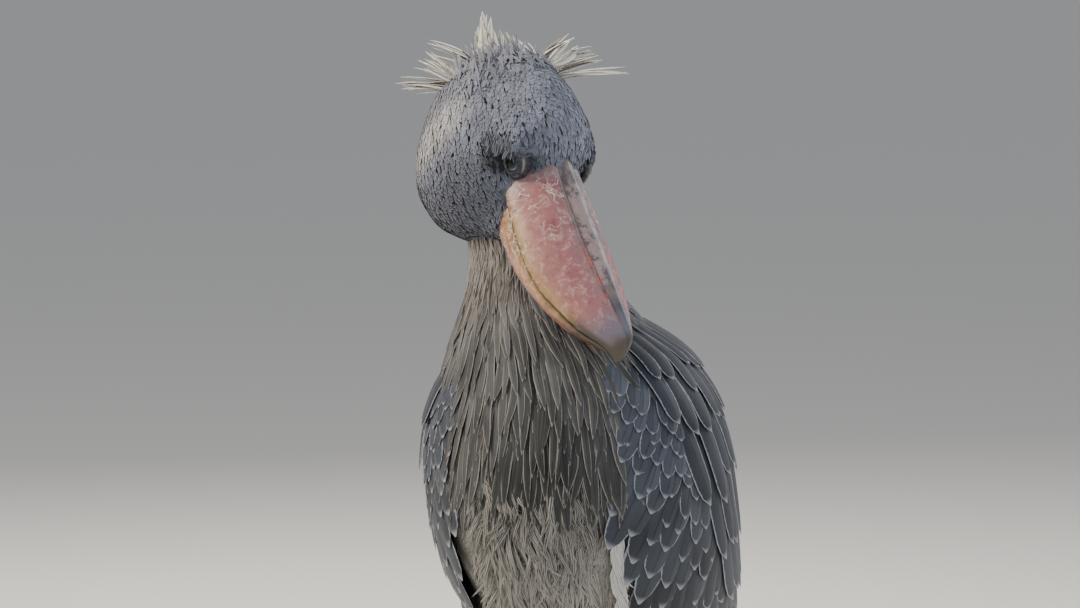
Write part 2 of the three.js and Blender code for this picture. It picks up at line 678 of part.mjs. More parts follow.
const head = buildHead();
const { upper, lower } = buildBill();
const headGrown = placed(headSolid(GAP * 2), headFrame);
const billGrown = placed(
  wasm.Manifold.union([
    billSolid(UPPER_SECTION, TOMIUM, CULMEN, BILL_LENGTH, 15, GAP * 2, 1),
    billSolid(LOWER_SECTION, TOMIUM, KEEL, LOWER_LENGTH, 12, GAP * 2, 0.94),
  ]),
  headFrame,
);
const trunk = slices(TRUNK, 0, 28, 22);
const trunkGrown = slices(TRUNK, GAP, 28, 22);
const belowNeck = trunk.intersect(boxBelow(NECK_CUT));
const rightHalf = solid(new THREE.BoxGeometry(4000, 4000, 4000).translate(GAP / 2 - 2000, 0, 0));
const wingWhole = (grow) => wasm.Manifold.union([wingSlab(grow), ...wingVanes(grow)]);
const wing = largest(wingWhole(0).subtract(trunkGrown).subtract(rightHalf));
const wingGrown = wingWhole(GAP * 2);
const wings = wasm.Manifold.union([wingGrown, mirrored(wingGrown)]);
const torsoFeathers = [...plumes(), ...bellyTufts(), ...mantle()];
const torso = fuse(belowNeck, torsoFeathers).subtract(wings).subtract(billGrown);
const neck = largest(trunk.subtract(boxBelow(NECK_CUT + GAP)).subtract(headGrown).subtract(billGrown));
const tail = buildTail(trunkGrown, wings);
const leg = buildLeg(trunkGrown, wings);

add("torso", largest(torso), GREY, 0.9);
add("neck", neck, GREY, 0.9);
add("tail", tail, SLATE, 0.8);
add("wing_left", wing, SLATE, 0.8);
add("wing_right", mirrored(wing), SLATE, 0.8);
[["left", (m) => m], ["right", mirrored]].forEach(([side, turn]) => {
  add("thigh_" + side, turn(leg.thigh), GREY, 0.9);
  add("shank_" + side, turn(leg.shank), SKIN_GREY, 0.6);
  add("foot_" + side, turn(leg.foot), SKIN_GREY, 0.6);
  leg.claws.forEach(([name, solidClaw]) => add("claw_" + side + "_" + name, turn(solidClaw), SKIN_GREY, 0.4));
});

const headGroup = new THREE.Group();
headGroup.applyMatrix4(headFrame);
bird.add(headGroup);
add("head", head, PALE, 0.9, headGroup);
add("bill_upper", upper, HORN, 0.5, headGroup);
add("bill_lower", lower, HORN, 0.5, headGroup);
add("eye_left", eyeSocket(1, 0), 0xa9b7bd, 0.1, headGroup);
add("eye_right", eyeSocket(-1, 0), 0xa9b7bd, 0.1, headGroup);

// The part's origin is under the middle of its bounding box, on the floor.
const bounds = new THREE.Box3().setFromObject(bird, true);
const middle = bounds.getCenter(new THREE.Vector3());
bird.position.set(-middle.x, -middle.y, -bounds.min.z);

export default bird;
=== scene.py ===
"""A life-size standing shoebill: the plumage, bill, eyes, legs and claws that dress the solid model."""

import math

import bpy
import numpy as np
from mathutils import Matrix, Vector


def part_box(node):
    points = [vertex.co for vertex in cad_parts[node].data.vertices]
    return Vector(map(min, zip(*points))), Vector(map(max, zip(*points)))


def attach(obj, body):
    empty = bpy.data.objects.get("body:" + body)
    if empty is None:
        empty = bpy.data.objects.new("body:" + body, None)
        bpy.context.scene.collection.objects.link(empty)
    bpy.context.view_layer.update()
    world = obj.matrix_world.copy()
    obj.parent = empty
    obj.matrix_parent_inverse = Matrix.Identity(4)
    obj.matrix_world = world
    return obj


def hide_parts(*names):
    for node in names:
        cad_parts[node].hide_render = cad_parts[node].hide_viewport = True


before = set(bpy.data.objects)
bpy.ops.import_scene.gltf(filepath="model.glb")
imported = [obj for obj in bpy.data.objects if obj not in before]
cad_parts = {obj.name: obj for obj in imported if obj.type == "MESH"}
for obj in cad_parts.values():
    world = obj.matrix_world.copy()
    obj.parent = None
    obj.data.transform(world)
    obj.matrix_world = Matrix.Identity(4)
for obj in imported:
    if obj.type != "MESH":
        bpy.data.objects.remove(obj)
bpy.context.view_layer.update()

bl_info = {
    "name": "Shoebill dresser",
    "version": (1, 0, 0),
    "blender": (4, 5, 0),
    "location": "3D View > Sidebar > Shoebill",
    "description": "Builds the plumage, bill, eyes and legs of a standing shoebill over its solid model",
    "category": "Object",
}

# Shapes shared with the solid model, in millimetres


def rotation(yaw, pitch, roll):
    """The head's axes as columns: along the bill, to its left, over its crown."""
    a, b, r = np.radians([yaw - 90, pitch, roll])
    turn = np.array([[np.cos(a), -np.sin(a), 0], [np.sin(a), np.cos(a), 0], [0, 0, 1]])
    nod = np.array([[np.cos(b), 0, np.sin(b)], [0, 1, 0], [-np.sin(b), 0, np.cos(b)]])
    tilt = np.array([[1, 0, 0], [0, np.cos(r), -np.sin(r)], [0, np.sin(r), np.cos(r)]])
    return turn @ nod @ tilt


HEAD_PLACE = np.array([-7.8, -82.6, 969.3])
HEAD_AXES = rotation(59, 49, -11)
EYE_PLACE = np.array([-10.0, 44.0, 21.0])
EYE_RADIUS = 11.5
BILL_LENGTH = 198
BILL_WIDTH = 106
LOWER_LENGTH = 188
HEAD_MIDDLE = [-60, 0, -16]
HEAD_BACK = 139.5  # feathers end this far behind the bill's root
LEG_SPREAD = 64
FOOT_Y = 34
SIDES = ((1, "left"), (-1, "right"))
MM = 0.001
METRE = 1000

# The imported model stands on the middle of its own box, so the solid eyeball tells how far it was moved.
eye_low, eye_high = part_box("eye_left")
SHIFT = (np.array(eye_low) + np.array(eye_high)) / 2 * METRE - (HEAD_PLACE + HEAD_AXES @ EYE_PLACE)

# Height, middle x, middle y, half width, half depth
TRUNK = [
    [458, 0, 178, 14, 24], [470, 0, 168, 40, 58], [490, 0, 142, 60, 92], [520, 0, 104, 82, 122],
    [560, 0, 60, 106, 150], [600, 0, 36, 119, 158], [640, 0, 20, 127, 159], [680, 0, 9, 130, 156],
    [720, 0, 0, 129, 147], [760, -1, -7, 122, 134], [800, -7, -14, 107, 117], [840, -20, -20, 82, 96],
    [870, -26, -26, 68, 79], [900, -28, -34, 61, 67], [930, -36, -44, 54, 60], [960, -40, -56, 48, 52],
    [985, -42, -66, 30, 34],
]
WINGED = [
    [372, 0, 392, 8, 10], [392, 0, 358, 26, 42], [415, 0, 306, 50, 84], [440, 0, 246, 76, 122],
    [480, 0, 168, 106, 156], [520, 0, 108, 126, 174], [560, 0, 66, 139, 180], [600, 0, 40, 147, 178],
    [640, 0, 24, 151, 174], [680, 0, 13, 152, 167], [720, 0, 4, 149, 158], [760, -1, -2, 140, 145],
    [800, -4, -8, 121, 126], [832, -14, -14, 92, 102], [850, -18, -20, 66, 74],
]
# x, half width, top, bottom
HEAD = [
    [-140, 10, -4, -22], [-132, 36, 28, -56], [-116, 46, 54, -84], [-92, 58, 70, -106],
    [-62, 65, 76, -117], [-34, 68, 74, -113], [-12, 63, 63, -100], [0, 56, 47, -90],
    [15, 47, 24, -70], [26, 44, 4, -58], [34, 30, -12, -46], [38, 10, -26, -36],
]
CULMEN = [[-30, 46], [0, 44], [50, 37], [100, 30], [150, 23], [175, 19], [186, 16], [193, 8], [198, -4]]
TOMIUM = [
    [-30, -3], [0, -6], [23, -10], [69, -18], [108, -21], [142, -17], [163, -14], [184, -9], [192, -9], [198, -13],
]
BILL_HALF = [
    [-30, 0.74], [0, 0.85], [30, 0.94], [60, 0.99], [84, 1], [110, 0.95], [138, 0.8], [160, 0.6],
    [178, 0.37], [190, 0.2], [198, 0.08],
]
KEEL = [[-30, -40], [0, -46], [30, -51], [70, -51], [105, -45], [132, -39], [153, -32], [171, -23], [188, -14]]
UPPER_SECTION = [
    [0, 0.12], [0.5, 0.1], [0.88, 0.06], [1, 0], [1.02, 0.14], [0.93, 0.36], [0.74, 0.6], [0.5, 0.78],
    [0.32, 0.87], [0.22, 0.86], [0.14, 0.96], [0, 1],
]
LOWER_SECTION = [[0, 0.06], [0.55, 0.05], [0.93, 0], [0.99, 0.14], [0.93, 0.5], [0.7, 0.84], [0.36, 0.98], [0, 1]]


def along(stations, column=1):
    """A smooth value through stations [[position, value, ...], ...], held at both ends."""
    at = np.array([s[0] for s in stations], float)
    value = np.array([s[column] for s in stations], float)
    steps = np.diff(value) / np.diff(at)
    slope = np.zeros(len(at))
    slope[0], slope[-1] = steps[0], steps[-1]
    product = steps[:-1] * steps[1:]
    total = steps[:-1] + steps[1:]
    slope[1:-1] = np.where(product > 0, 2 * product / np.where(total == 0, 1, total), 0)

    def value_at(position):
        x = np.clip(np.asarray(position, float), at[0], at[-1])
        i = np.clip(np.searchsorted(at, x, side="right") - 1, 0, len(at) - 2)
        span = at[i + 1] - at[i]
        t = (x - at[i]) / span
        h = t * t * (3 - 2 * t)
        bend = slope[i] * span * t * (1 - t) ** 2 - slope[i + 1] * span * t * t * (1 - t)
        return value[i] * (1 - h) + value[i + 1] * h + bend

    return value_at


def unit(v):
    """Rows of v at length one."""
    return v / np.maximum(np.linalg.norm(v, axis=-1, keepdims=True), 1e-9)


class Sliced:
    """A body given by horizontal slices, with its points and outward directions by turn and height."""

    def __init__(self, stations, grow=0.0):
        self.x, self.y, self.width, self.depth = (along(stations, c) for c in (1, 2, 3, 4))
        self.grow = grow

    def point(self, turn, z):
        turn, z = np.broadcast_arrays(np.asarray(turn, float), np.asarray(z, float))
        a = np.radians(turn)
        return np.stack(
            [
                self.x(z) + np.sin(a) * (self.width(z) + self.grow),
                self.y(z) - np.cos(a) * (self.depth(z) + self.grow),
                z,
            ],
            -1,
        )

    def outward(self, turn, z):
        turn, z = np.broadcast_arrays(np.asarray(turn, float), np.asarray(z, float))
        round_ = self.point(turn + 1, z) - self.point(turn - 1, z)
        rise = self.point(turn, z + 2) - self.point(turn, z - 2)
        return unit(np.cross(round_, rise))


def brow(x, angle):
    """How far the feathered brow swells out over each eye, with a dip between the two."""
    side = np.abs(np.sin(angle))
    high = np.maximum(0, np.cos(angle))
    return np.exp(-(((x + 22) / 26) ** 2)) * high * (side * 2 - 0.5)


class Skull:
    """The feathered head, with its points and outward directions by place along the bill's line and angle round it."""

    def __init__(self, grow=0.0):
        self.width, self.top, self.bottom = (along(HEAD, c) for c in (1, 2, 3))
        self.grow = grow

    def point(self, x, angle):
        x, angle = np.broadcast_arrays(np.asarray(x, float), np.asarray(angle, float))
        middle = (self.top(x) + self.bottom(x)) / 2
        high = (self.top(x) - self.bottom(x)) / 2 + self.grow
        lobe = brow(x, angle)
        rise = middle + np.cos(angle) * high * (1 + 0.02 * lobe)
        # The eye lies in a hollow under a ridge that drops towards the bill.
        beside = np.clip(np.abs(np.sin(angle)) * 3 - 1.2, 0, 1)
        hollow = np.exp(-((x + 6) ** 2 + (rise - 17) ** 2) / 15**2) * beside
        ridge = np.exp(-(((rise - 38 + 0.3 * (x + 10)) / 8.5) ** 2) - ((x + 4) / 30) ** 2) * beside
        out = 8.0 * ridge - 6.0 * hollow
        return np.stack(
            [
                x,
                np.sin(angle) * ((self.width(x) + self.grow) * (1 + 0.14 * lobe - 0.08 * np.cos(angle)) + out),
                rise,
            ],
            -1,
        )

    def outward(self, x, angle):
        x, angle = np.broadcast_arrays(np.asarray(x, float), np.asarray(angle, float))
        ahead = self.point(x + 1.0, angle) - self.point(x - 1.0, angle)
        round_ = self.point(x, angle + 0.02) - self.point(x, angle - 0.02)
        return unit(np.cross(ahead, round_)) * -1.0


def head_to_body(points):
    """Places points of the head's frame in the bird's."""
    return points @ HEAD_AXES.T + HEAD_PLACE


def turn_to_body(directions):
    return directions @ HEAD_AXES.T


# Markings, the same on skin and coat


def rgb(code):
    return np.array(linear(code)[:3]) if isinstance(code, str) else np.array(code[:3])


def toward(colour, code, share):
    """Colours moved towards another by a share at each point."""
    return colour + (rgb(code) - colour) * np.clip(share, 0, 1)[..., None]


def ease(value, low, high):
    t = np.clip((value - low) / (high - low), 0, 1)
    return t * t * (3 - 2 * t)


def head_marking(points):
    """Blue grey head with painted light on its crown: dark round the eye and behind the bill, pale down the back of the
    cheek and the nape, partly a pale fringe and partly painted rim light.
    """
    x, y, z = np.moveaxis((points - HEAD_PLACE) @ HEAD_AXES, -1, 0)
    look = bpy.context.scene.shoebill_plumage
    colour = np.broadcast_to(rgb(look.head), (*x.shape, 3))
    # Painted light from above: the crown is made paler towards its top.
    colour = toward(colour, "#9a9fad", ease(z, 20, 70) * 0.55)
    # Paler towards the back of the head and down the back of the cheek: partly a pale fringe, partly painted rim light.
    colour = toward(colour, "#878b96", ease(-x, 62, 118) * 0.6)
    colour = toward(colour, "#dad5d0", ease(-x, 48, 92) * ease(-z, -26, 20) * (1 - 0.85 * ease(-x, 84, 112)) * 0.9)
    colour = toward(colour, "#454a55", ease(x, -62, -20) * ease(-z, -12, 16) * 0.8)
    along_slit, over_slit = (x + 10) * 0.8 + (z - 20) * 0.6, (z - 20) * 0.8 - (x + 10) * 0.6
    eye = np.hypot(along_slit / 1.5, over_slit + 2)
    colour = toward(colour, "#25272d", (1 - ease(eye, 11, 21)) * ease(np.abs(y), 20, 38) * 0.95)
    colour = toward(colour, "#5b5f69", ease(-z, 70, 104) * 0.5)
    soft = ripple(points, 15, 3)
    clumps = ripple(points, 8, 5) * ease(z, 5, 40)
    colour = colour * (1 + 0.2 * soft + 0.22 * clumps)[..., None]
    return colour


def body_marking(points):
    """Warm light neck with painted shadow under the bill, dark grey breast with painted shadow down its middle, paler
    belly and slate back.
    """
    x, y, z = np.moveaxis(np.asarray(points, float), -1, 0)
    look = bpy.context.scene.shoebill_plumage
    colour = np.broadcast_to(rgb(look.breast), (*x.shape, 3))
    neck = ease(z, 838, 905)
    colour = toward(colour, "#9d978f", neck * ease(-x, -10, 50))
    # Painted shadow under the bill: the neck turns cool grey on the side where the bill hangs.
    colour = toward(colour, "#80848c", neck * ease(x, -40, 10))
    turn = np.degrees(np.arctan2(x - trunk.x(z), trunk.y(z) - y))
    # Painted shadow darkens the middle of the breast under the bill.
    breast_shadow = np.exp(-(((turn - 4) / 30) ** 2) - ((z - 740) / 85) ** 2)
    colour = toward(colour, "#30332f", breast_shadow * 0.85)
    colour = toward(colour, "#85837e", ease(-z, -668, -630) * 0.9)
    colour = toward(colour, "#828791", ease(np.abs(turn), 85, 130) * neck)
    colour = toward(colour, "#4b515c", ease(np.abs(turn), 100, 135) * ease(z, 486, 520) * (1 - neck))
    colour = colour * (1 + 0.22 * ripple(np.asarray(points, float) * [1, 1, 0.45], 26, 8))[..., None]
    return colour


# Making meshes


def signed_volume(points, face_groups):
    """Six times the volume inside closed faces, negative when they point inwards."""
    total = 0.0
    for faces in face_groups:
        p = points[faces]
        for k in range(1, faces.shape[1] - 1):
            total += np.einsum("ij,ij->", p[:, 0], np.cross(p[:, k], p[:, k + 1]))
    return total


def make_mesh(name, points, face_groups, material, uvs=None, attributes=None, sharp=60.0, turn_out=False):
    """A mesh object from points in millimetres of the bird's own frame, groups of like faces, and values a point."""
    points = np.asarray(points, float)
    face_groups = [np.asarray(f, np.int64) for f in face_groups if len(f)]
    if turn_out and signed_volume(points - points.mean(0), face_groups) < 0:
        face_groups = [f[:, ::-1] for f in face_groups]
    mesh = bpy.data.meshes.new(name)
    mesh.vertices.add(len(points))
    mesh.vertices.foreach_set("co", ((points + SHIFT) * MM).astype(np.float32).ravel())
    corners = np.concatenate([f.ravel() for f in face_groups])
    sizes = np.concatenate([np.full(len(f), f.shape[1]) for f in face_groups])
    starts = np.concatenate([[0], np.cumsum(sizes)[:-1]])
    mesh.loops.add(len(corners))
    mesh.loops.foreach_set("vertex_index", corners.astype(np.int32))
    mesh.polygons.add(len(sizes))
    mesh.polygons.foreach_set("loop_start", starts.astype(np.int32))
    mesh.polygons.foreach_set("use_smooth", np.ones(len(sizes), bool))
    mesh.update(calc_edges=True)
    for uv_name, values in (uvs or {}).items():
        layer = mesh.uv_layers.new(name=uv_name)
        layer.data.foreach_set("uv", np.asarray(values, np.float32)[corners].ravel())
    for key, values in (attributes or {}).items():
        values = np.asarray(values, np.float32)
        kind = "FLOAT_VECTOR" if values.ndim == 2 else "FLOAT"
        attribute = mesh.attributes.new(key, kind, "POINT")
        attribute.data.foreach_set("vector" if values.ndim == 2 else "value", values.ravel())
    if sharp:
        mesh.set_sharp_from_angle(angle=math.radians(sharp))
    obj = bpy.data.objects.new(name, mesh)
    bpy.context.scene.collection.objects.link(obj)
    mesh.materials.append(material)
    return obj


def loft_faces(rows, columns):
    """Quads of a tube of rings, and the triangles that close it on a first and a last point after the rings."""
    r, c = np.meshgrid(np.arange(rows - 1), np.arange(columns), indexing="ij")
    a = (r * columns + c).ravel()
    b = (r * columns + (c + 1) % columns).ravel()
    quads = np.stack([a, b, b + columns, a + columns], -1)
    k = np.arange(columns)
    first, last = rows * columns, rows * columns + 1
    start = np.stack([np.full(columns, first), (k + 1) % columns, k], -1)
    top = (rows - 1) * columns
    end = np.stack([np.full(columns, last), top + k, top + (k + 1) % columns], -1)
    return [quads, np.concatenate([start, end])]


def loft(name, rings, material, attributes=None, sharp=60.0):
    """A closed tube through rings of points (rows, columns, 3), with an end point at the middle of each end."""
    rows, columns = rings.shape[:2]
    points = np.concatenate([rings.reshape(-1, 3), [rings[0].mean(0)], [rings[-1].mean(0)]])
    extra = {}
    for key, values in (attributes or {}).items():
        flat = values.reshape(rows * columns, -1)
        ends = [values[0].reshape(columns, -1).mean(0), values[-1].reshape(columns, -1).mean(0)]
        whole = np.concatenate([flat, ends])
        extra[key] = whole if whole.shape[1] == 3 else whole[:, 0]
    return make_mesh(name, points, loft_faces(rows, columns), material, attributes=extra, sharp=sharp, turn_out=True)


def join(context, pieces):
    """Joins pieces into the first of them."""
    target = pieces[0]
    with context.temp_override(
        active_object=target, selected_editable_objects=pieces, selected_objects=pieces, object=target
    ):
        bpy.ops.object.join()
    return target


def plain(context, obj, name):
    """Puts the shape that an object's modifiers give into a plain mesh, and removes the object."""
    mesh = bpy.data.meshes.new_from_object(obj.evaluated_get(context.evaluated_depsgraph_get()))
    bpy.data.objects.remove(obj)
    mesh.name = name
    result = bpy.data.objects.new(name, mesh)
    context.scene.collection.objects.link(result)
    return result


def finish_piece(obj, slot, *nodes):
    """Every piece rides on the one body and stands for its nodes; slot is not used."""
    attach(obj, "root")
    if nodes:
        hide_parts(*nodes)
    return obj


# Outline of a feather: share of its length, share of its half width
SHAPES = {
    "plume": [[0, 0.3], [0.12, 0.6], [0.35, 0.95], [0.6, 1.0], [0.82, 0.7], [1, 0.05]],
    "covert": [[0, 0.35], [0.15, 0.75], [0.4, 1.0], [0.7, 1.0], [0.88, 0.74], [0.96, 0.42], [1, 0.08]],
    "flight": [[0, 0.3], [0.12, 0.8], [0.4, 1.0], [0.8, 0.95], [0.93, 0.62], [1, 0.06]],
    "down": [[0, 0.6], [0.3, 1.0], [0.7, 0.8], [1, 0.05]],
    "short": [[0, 0.45], [0.4, 1.0], [0.75, 0.85], [1, 0.15]],
}


def shares(rings):
    """Places along a feather, closer together towards its tip."""
    s = np.linspace(0, 1, rings + 1)
    return s + 0.07 * np.sin(np.pi * s)


def lie(skin, root, tip, rings, lift):
    """Middle lines and outward directions of feathers that lie on a surface, each from root to tip on its own map."""
    s = shares(rings)[None, :]
    p = root[:, None, 0] + (tip[:, None, 0] - root[:, None, 0]) * s
    q = root[:, None, 1] + (tip[:, None, 1] - root[:, None, 1]) * s
    up = skin.outward(p, q)
    low, high = (np.broadcast_to(np.asarray(v, float), (len(root),))[:, None] for v in lift)
    return skin.point(p, q) + up * (low + (high - low) * np.sqrt(s))[..., None], up


def loop_quads(steps, columns, rings=None):
    """Quads between rings of points for the given steps, and back to the first ring where rings says how many."""
    return [
        [r * columns + c, r * columns + (c + 1) % columns, after * columns + (c + 1) % columns, after * columns + c]
        for r, after in ((r, (r + 1) % rings if rings else r + 1) for r in range(steps))
        for c in range(columns)
    ]


def feathers(
    name, material, place, up, half, shape="covert", columns=3, crown=0.22, thick=0.5, wave=0.0, seed=1, coat=None
):
    """One mesh of many closed vanes from their middle lines (feathers, rings, 3) and outward directions.

    crown arches the vane across by a share of its half width, and wave bends its line sideways."""
    rng = np.random.default_rng(seed)
    n, count_rings = place.shape[:2]
    s = shares(count_rings - 1)
    half = np.broadcast_to(np.asarray(half, float), (n,))
    way = unit(np.gradient(place, axis=1))
    up = unit(up - way * np.sum(way * up, -1, keepdims=True))
    across = np.cross(way, up)
    if wave:
        length = np.linalg.norm(place[:, -1] - place[:, 0], axis=-1)
        bend = rng.normal(0, wave, (n, 1)) * np.sin(s * np.pi * 1.15)[None] * length[:, None]
        place = place + across * bend[..., None]
    wide = half[:, None] * along(SHAPES[shape])(s)[None]
    k = np.linspace(-1, 1, columns)
    sag = -crown * wide[..., None] * (k**2)
    top_high = sag + ((1 - np.abs(k)) * thick + 0.05) * (1 - 0.75 * s[None, :, None])
    top = place[:, :, None] + across[:, :, None] * (wide[..., None] * k)[..., None]
    top = top + up[:, :, None] * top_high[..., None]
    under = place + up * ((sag[..., 0] + sag[..., columns // 2]) * 0.5 - 0.1)[..., None]
    points = np.concatenate([top, under[:, :, None]], 2)
    m = columns + 1
    quads = loop_quads(count_rings - 1, m)
    last = (count_rings - 1) * m
    for c in range(0, columns - 1, 2):
        quads.append([m - 1, c + 2, c + 1, c])
        quads.append([last + m - 1, last + c, last + c + 1, last + c + 2])
    per = count_rings * m
    faces = (np.array(quads)[None] + (np.arange(n) * per)[:, None, None]).reshape(-1, 4)
    u = np.append(k * 0.5 + 0.5, 0.5)
    vane = np.stack(np.broadcast_arrays(u, s[:, None]), -1).reshape(1, per, 2).repeat(n, axis=0)
    bake = unwrap(place[:, 0])[:, None] + (vane - 0.5) * 0.003
    return make_mesh(
        name, points.reshape(-1, 3), [faces], material,
        uvs={"OFBake": bake.reshape(-1, 2), "Vane": vane.reshape(-1, 2)},
        attributes={
            "tint": np.repeat(rng.random(n), per),
            "coat": np.repeat(body_marking(place[:, 0]) if coat is None else coat, per, axis=0),
        },
    )


def ripple(points, size, seed):
    """A smooth repeatable unevenness from about -1 to 1, with bumps of the given size in millimetres."""
    rng = np.random.default_rng(seed)
    total = np.zeros(points.shape[:-1])
    for octave in range(3):
        waves = rng.normal(0, 1, (7, 3)) * 3.2 / (size * 0.55**octave)
        total += np.sin(points @ waves.T + rng.uniform(0, 6.28, 7)).mean(-1) * 1.6 * 0.6**octave
    return total


def unwrap(points):
    """A flat map of the bird's own shape: turn round the upright axis by height, the head above the body."""
    p = np.asarray(points, float)
    high = p[..., 2] > 900
    cx = np.where(high, -52.0, 0.0)
    cy = np.where(high, -55.0, np.interp(p[..., 2], [380, 560, 700, 850], [330, 66, 8, -20]))
    turn = np.arctan2(p[..., 0] - cx, -(p[..., 1] - cy)) / (2 * np.pi) + 0.5
    rise = np.where(high, 0.62 + (p[..., 2] - 900) / 300 * 0.34, 0.03 + p[..., 2] / 900 * 0.55)
    return np.stack([0.02 + turn * 0.96, np.clip(rise, 0.01, 0.99)], -1)


# Materials


def linear(code):
    """An sRGB hex value as linear red, green, blue and alpha."""
    values = [int(code[i : i + 2], 16) / 255 for i in (1, 3, 5)]
    return [v / 12.92 if v <= 0.04045 else ((v + 0.055) / 1.055) ** 2.4 for v in values] + [1.0]


def add(tree, kind, sockets=None, stops=(), **settings):
    """One node with its settings, and what feeds its inputs: a value, an sRGB hex, an output, or a node's first one."""
    node = tree.nodes.new(kind)
    for key, value in settings.items():
        setattr(node, key, value)
    for key, value in (sockets or {}).items():
        if isinstance(value, bpy.types.Node):
            value = next(output for output in value.outputs if output.enabled)
        if isinstance(value, bpy.types.NodeSocket):
            tree.links.new(value, node.inputs[key])
        else:
            is_colour = isinstance(value, str) and value.startswith("#")
            node.inputs[key].default_value = linear(value) if is_colour else value
    for _ in stops[2:]:
        node.color_ramp.elements.new(0.5)
    for (place, colour), element in zip(stops, node.color_ramp.elements if stops else ()):
        element.position = place
        element.color = linear(colour) if isinstance(colour, str) else tuple(colour)
    return node


def start_material(name, roughness, **sockets):
    """A material with its shader, whose plain values are set on its own sockets."""
    material = bpy.data.materials.new(name)
    material.use_nodes = True
    tree = material.node_tree
    shader = tree.nodes["Principled BSDF"]
    shader.inputs["Roughness"].default_value = roughness
    for key, value in sockets.items():
        shader.inputs[key.replace("_", " ")].default_value = value
    return material, tree, shader


def mask(tree, *marks):
    """How far values lie past their marks: a product of smooth steps, each 0 at its first mark and 1 at its second."""
    product = None
    for value, zero, one in marks:
        ends = {"From Min": min(zero, one), "From Max": max(zero, one), "To Min": zero > one, "To Max": zero < one}
        step = add(tree, "ShaderNodeMapRange", {"Value": value, **ends}, interpolation_type="SMOOTHSTEP")
        product = add(tree, "ShaderNodeMath", {0: product, 1: step}, operation="MULTIPLY") if product else step
    return product


def paint(tree, colour, *layers):
    """A colour with others laid over it in turn, each by a share, or a list of marks for a mask, and a strength."""
    for share, strength, code in layers:
        share = mask(tree, *share) if isinstance(share, list) else share
        share = add(tree, "ShaderNodeMath", {0: share, 1: strength}, operation="MULTIPLY")
        colour = add(tree, "ShaderNodeMix", {0: share, 6: colour, 7: code}, data_type="RGBA").outputs[2]
    return colour


def surface(tree, shader, colour, height=None, strength=0.5, depth_mm=0.5):
    """Gives the shader its colour, and a relief from a height."""
    tree.links.new(colour, shader.inputs["Base Color"])
    if height:
        relief = add(tree, "ShaderNodeBump", {"Height": height, "Strength": strength, "Distance": depth_mm * MM})
        tree.links.new(relief.outputs[0], shader.inputs["Normal"])


def feather_material(name, edge, edge_from, edge_share, shaft, mottle_mm=30.0, contrast=0.3, roughness=0.62):
    """Keratin barbs on a shaft: matt, with a soft sheen across the barbs, a paler fringe and a darker middle."""
    material, tree, shader = start_material(
        name, roughness, Sheen_Weight=0.12, Sheen_Roughness=0.4, Specular_IOR_Level=0.3
    )
    u, v = add(tree, "ShaderNodeSeparateXYZ", {"Vector": add(tree, "ShaderNodeUVMap", uv_map="Vane")}).outputs[:2]
    place = add(tree, "ShaderNodeTexCoord").outputs["Object"]
    tint = add(tree, "ShaderNodeAttribute", attribute_name="tint").outputs["Fac"]
    coat = add(tree, "ShaderNodeAttribute", attribute_name="coat").outputs["Color"]
    mottle = add(tree, "ShaderNodeTexNoise", {"Vector": place, "Scale": 1 / (mottle_mm * MM), "Detail": 3.0})
    fine = add(tree, "ShaderNodeTexNoise", {"Vector": place, "Scale": 1 / (2.5 * MM), "Detail": 2.0})
    across = add(tree, "ShaderNodeMath", {0: u, 1: 2.0, 2: -1.0}, operation="MULTIPLY_ADD")
    across = add(tree, "ShaderNodeMath", {0: across}, operation="ABSOLUTE")
    # Barbs leave the shaft at a slant, some 0.5 mm apart in life. Every feather shows 38 of them whatever its
    # length, so on all but the shortest they are drawn coarser than that, where they can still be seen.
    slant = add(tree, "ShaderNodeMath", {0: v, 1: 240.0}, operation="MULTIPLY")
    slant = add(tree, "ShaderNodeMath", {0: across, 1: -30.0, 2: slant}, operation="MULTIPLY_ADD")
    slant = add(tree, "ShaderNodeMath", {0: fine, 1: 8.0, 2: slant}, operation="MULTIPLY_ADD")
    barb = add(tree, "ShaderNodeMath", {0: slant}, operation="SINE")
    shade = 0.0
    for part, weight in (
        (mask(tree, (mottle, 0.35, 0.68)), contrast), (tint, contrast),
        (mask(tree, (barb, -0.4, 1.0)), 0.14), (mask(tree, (across, 0.13, 0.03)), shaft),
    ):
        shade = add(tree, "ShaderNodeMath", {0: part, 1: weight, 2: shade}, operation="MULTIPLY_ADD")
    ragged = add(tree, "ShaderNodeMath", {0: fine, 1: 0.5}, operation="SUBTRACT")
    ragged = add(tree, "ShaderNodeMath", {0: ragged, 1: 0.2, 2: across}, operation="MULTIPLY_ADD")
    rims = {0: mask(tree, (ragged, edge_from, edge_from + 0.12)), 1: mask(tree, (v, 0.93, 1.0))}
    fringe = add(tree, "ShaderNodeMath", rims, operation="MAXIMUM")
    surface(tree, shader, paint(tree, coat, (shade, 1.0, "#0d0e11"), (fringe, edge_share, edge)), barb, 0.3, 0.3)
    return material


# Sizes and colours that can be changed


def length_setting(name, description, default):
    return bpy.props.FloatProperty(name=name, description=description, default=default, unit="LENGTH", min=0.0)


def colour_setting(name, description, code):
    return bpy.props.FloatVectorProperty(
        name=name, description=description, default=linear(code), subtype="COLOR", size=4, min=0.0, max=1.0
    )


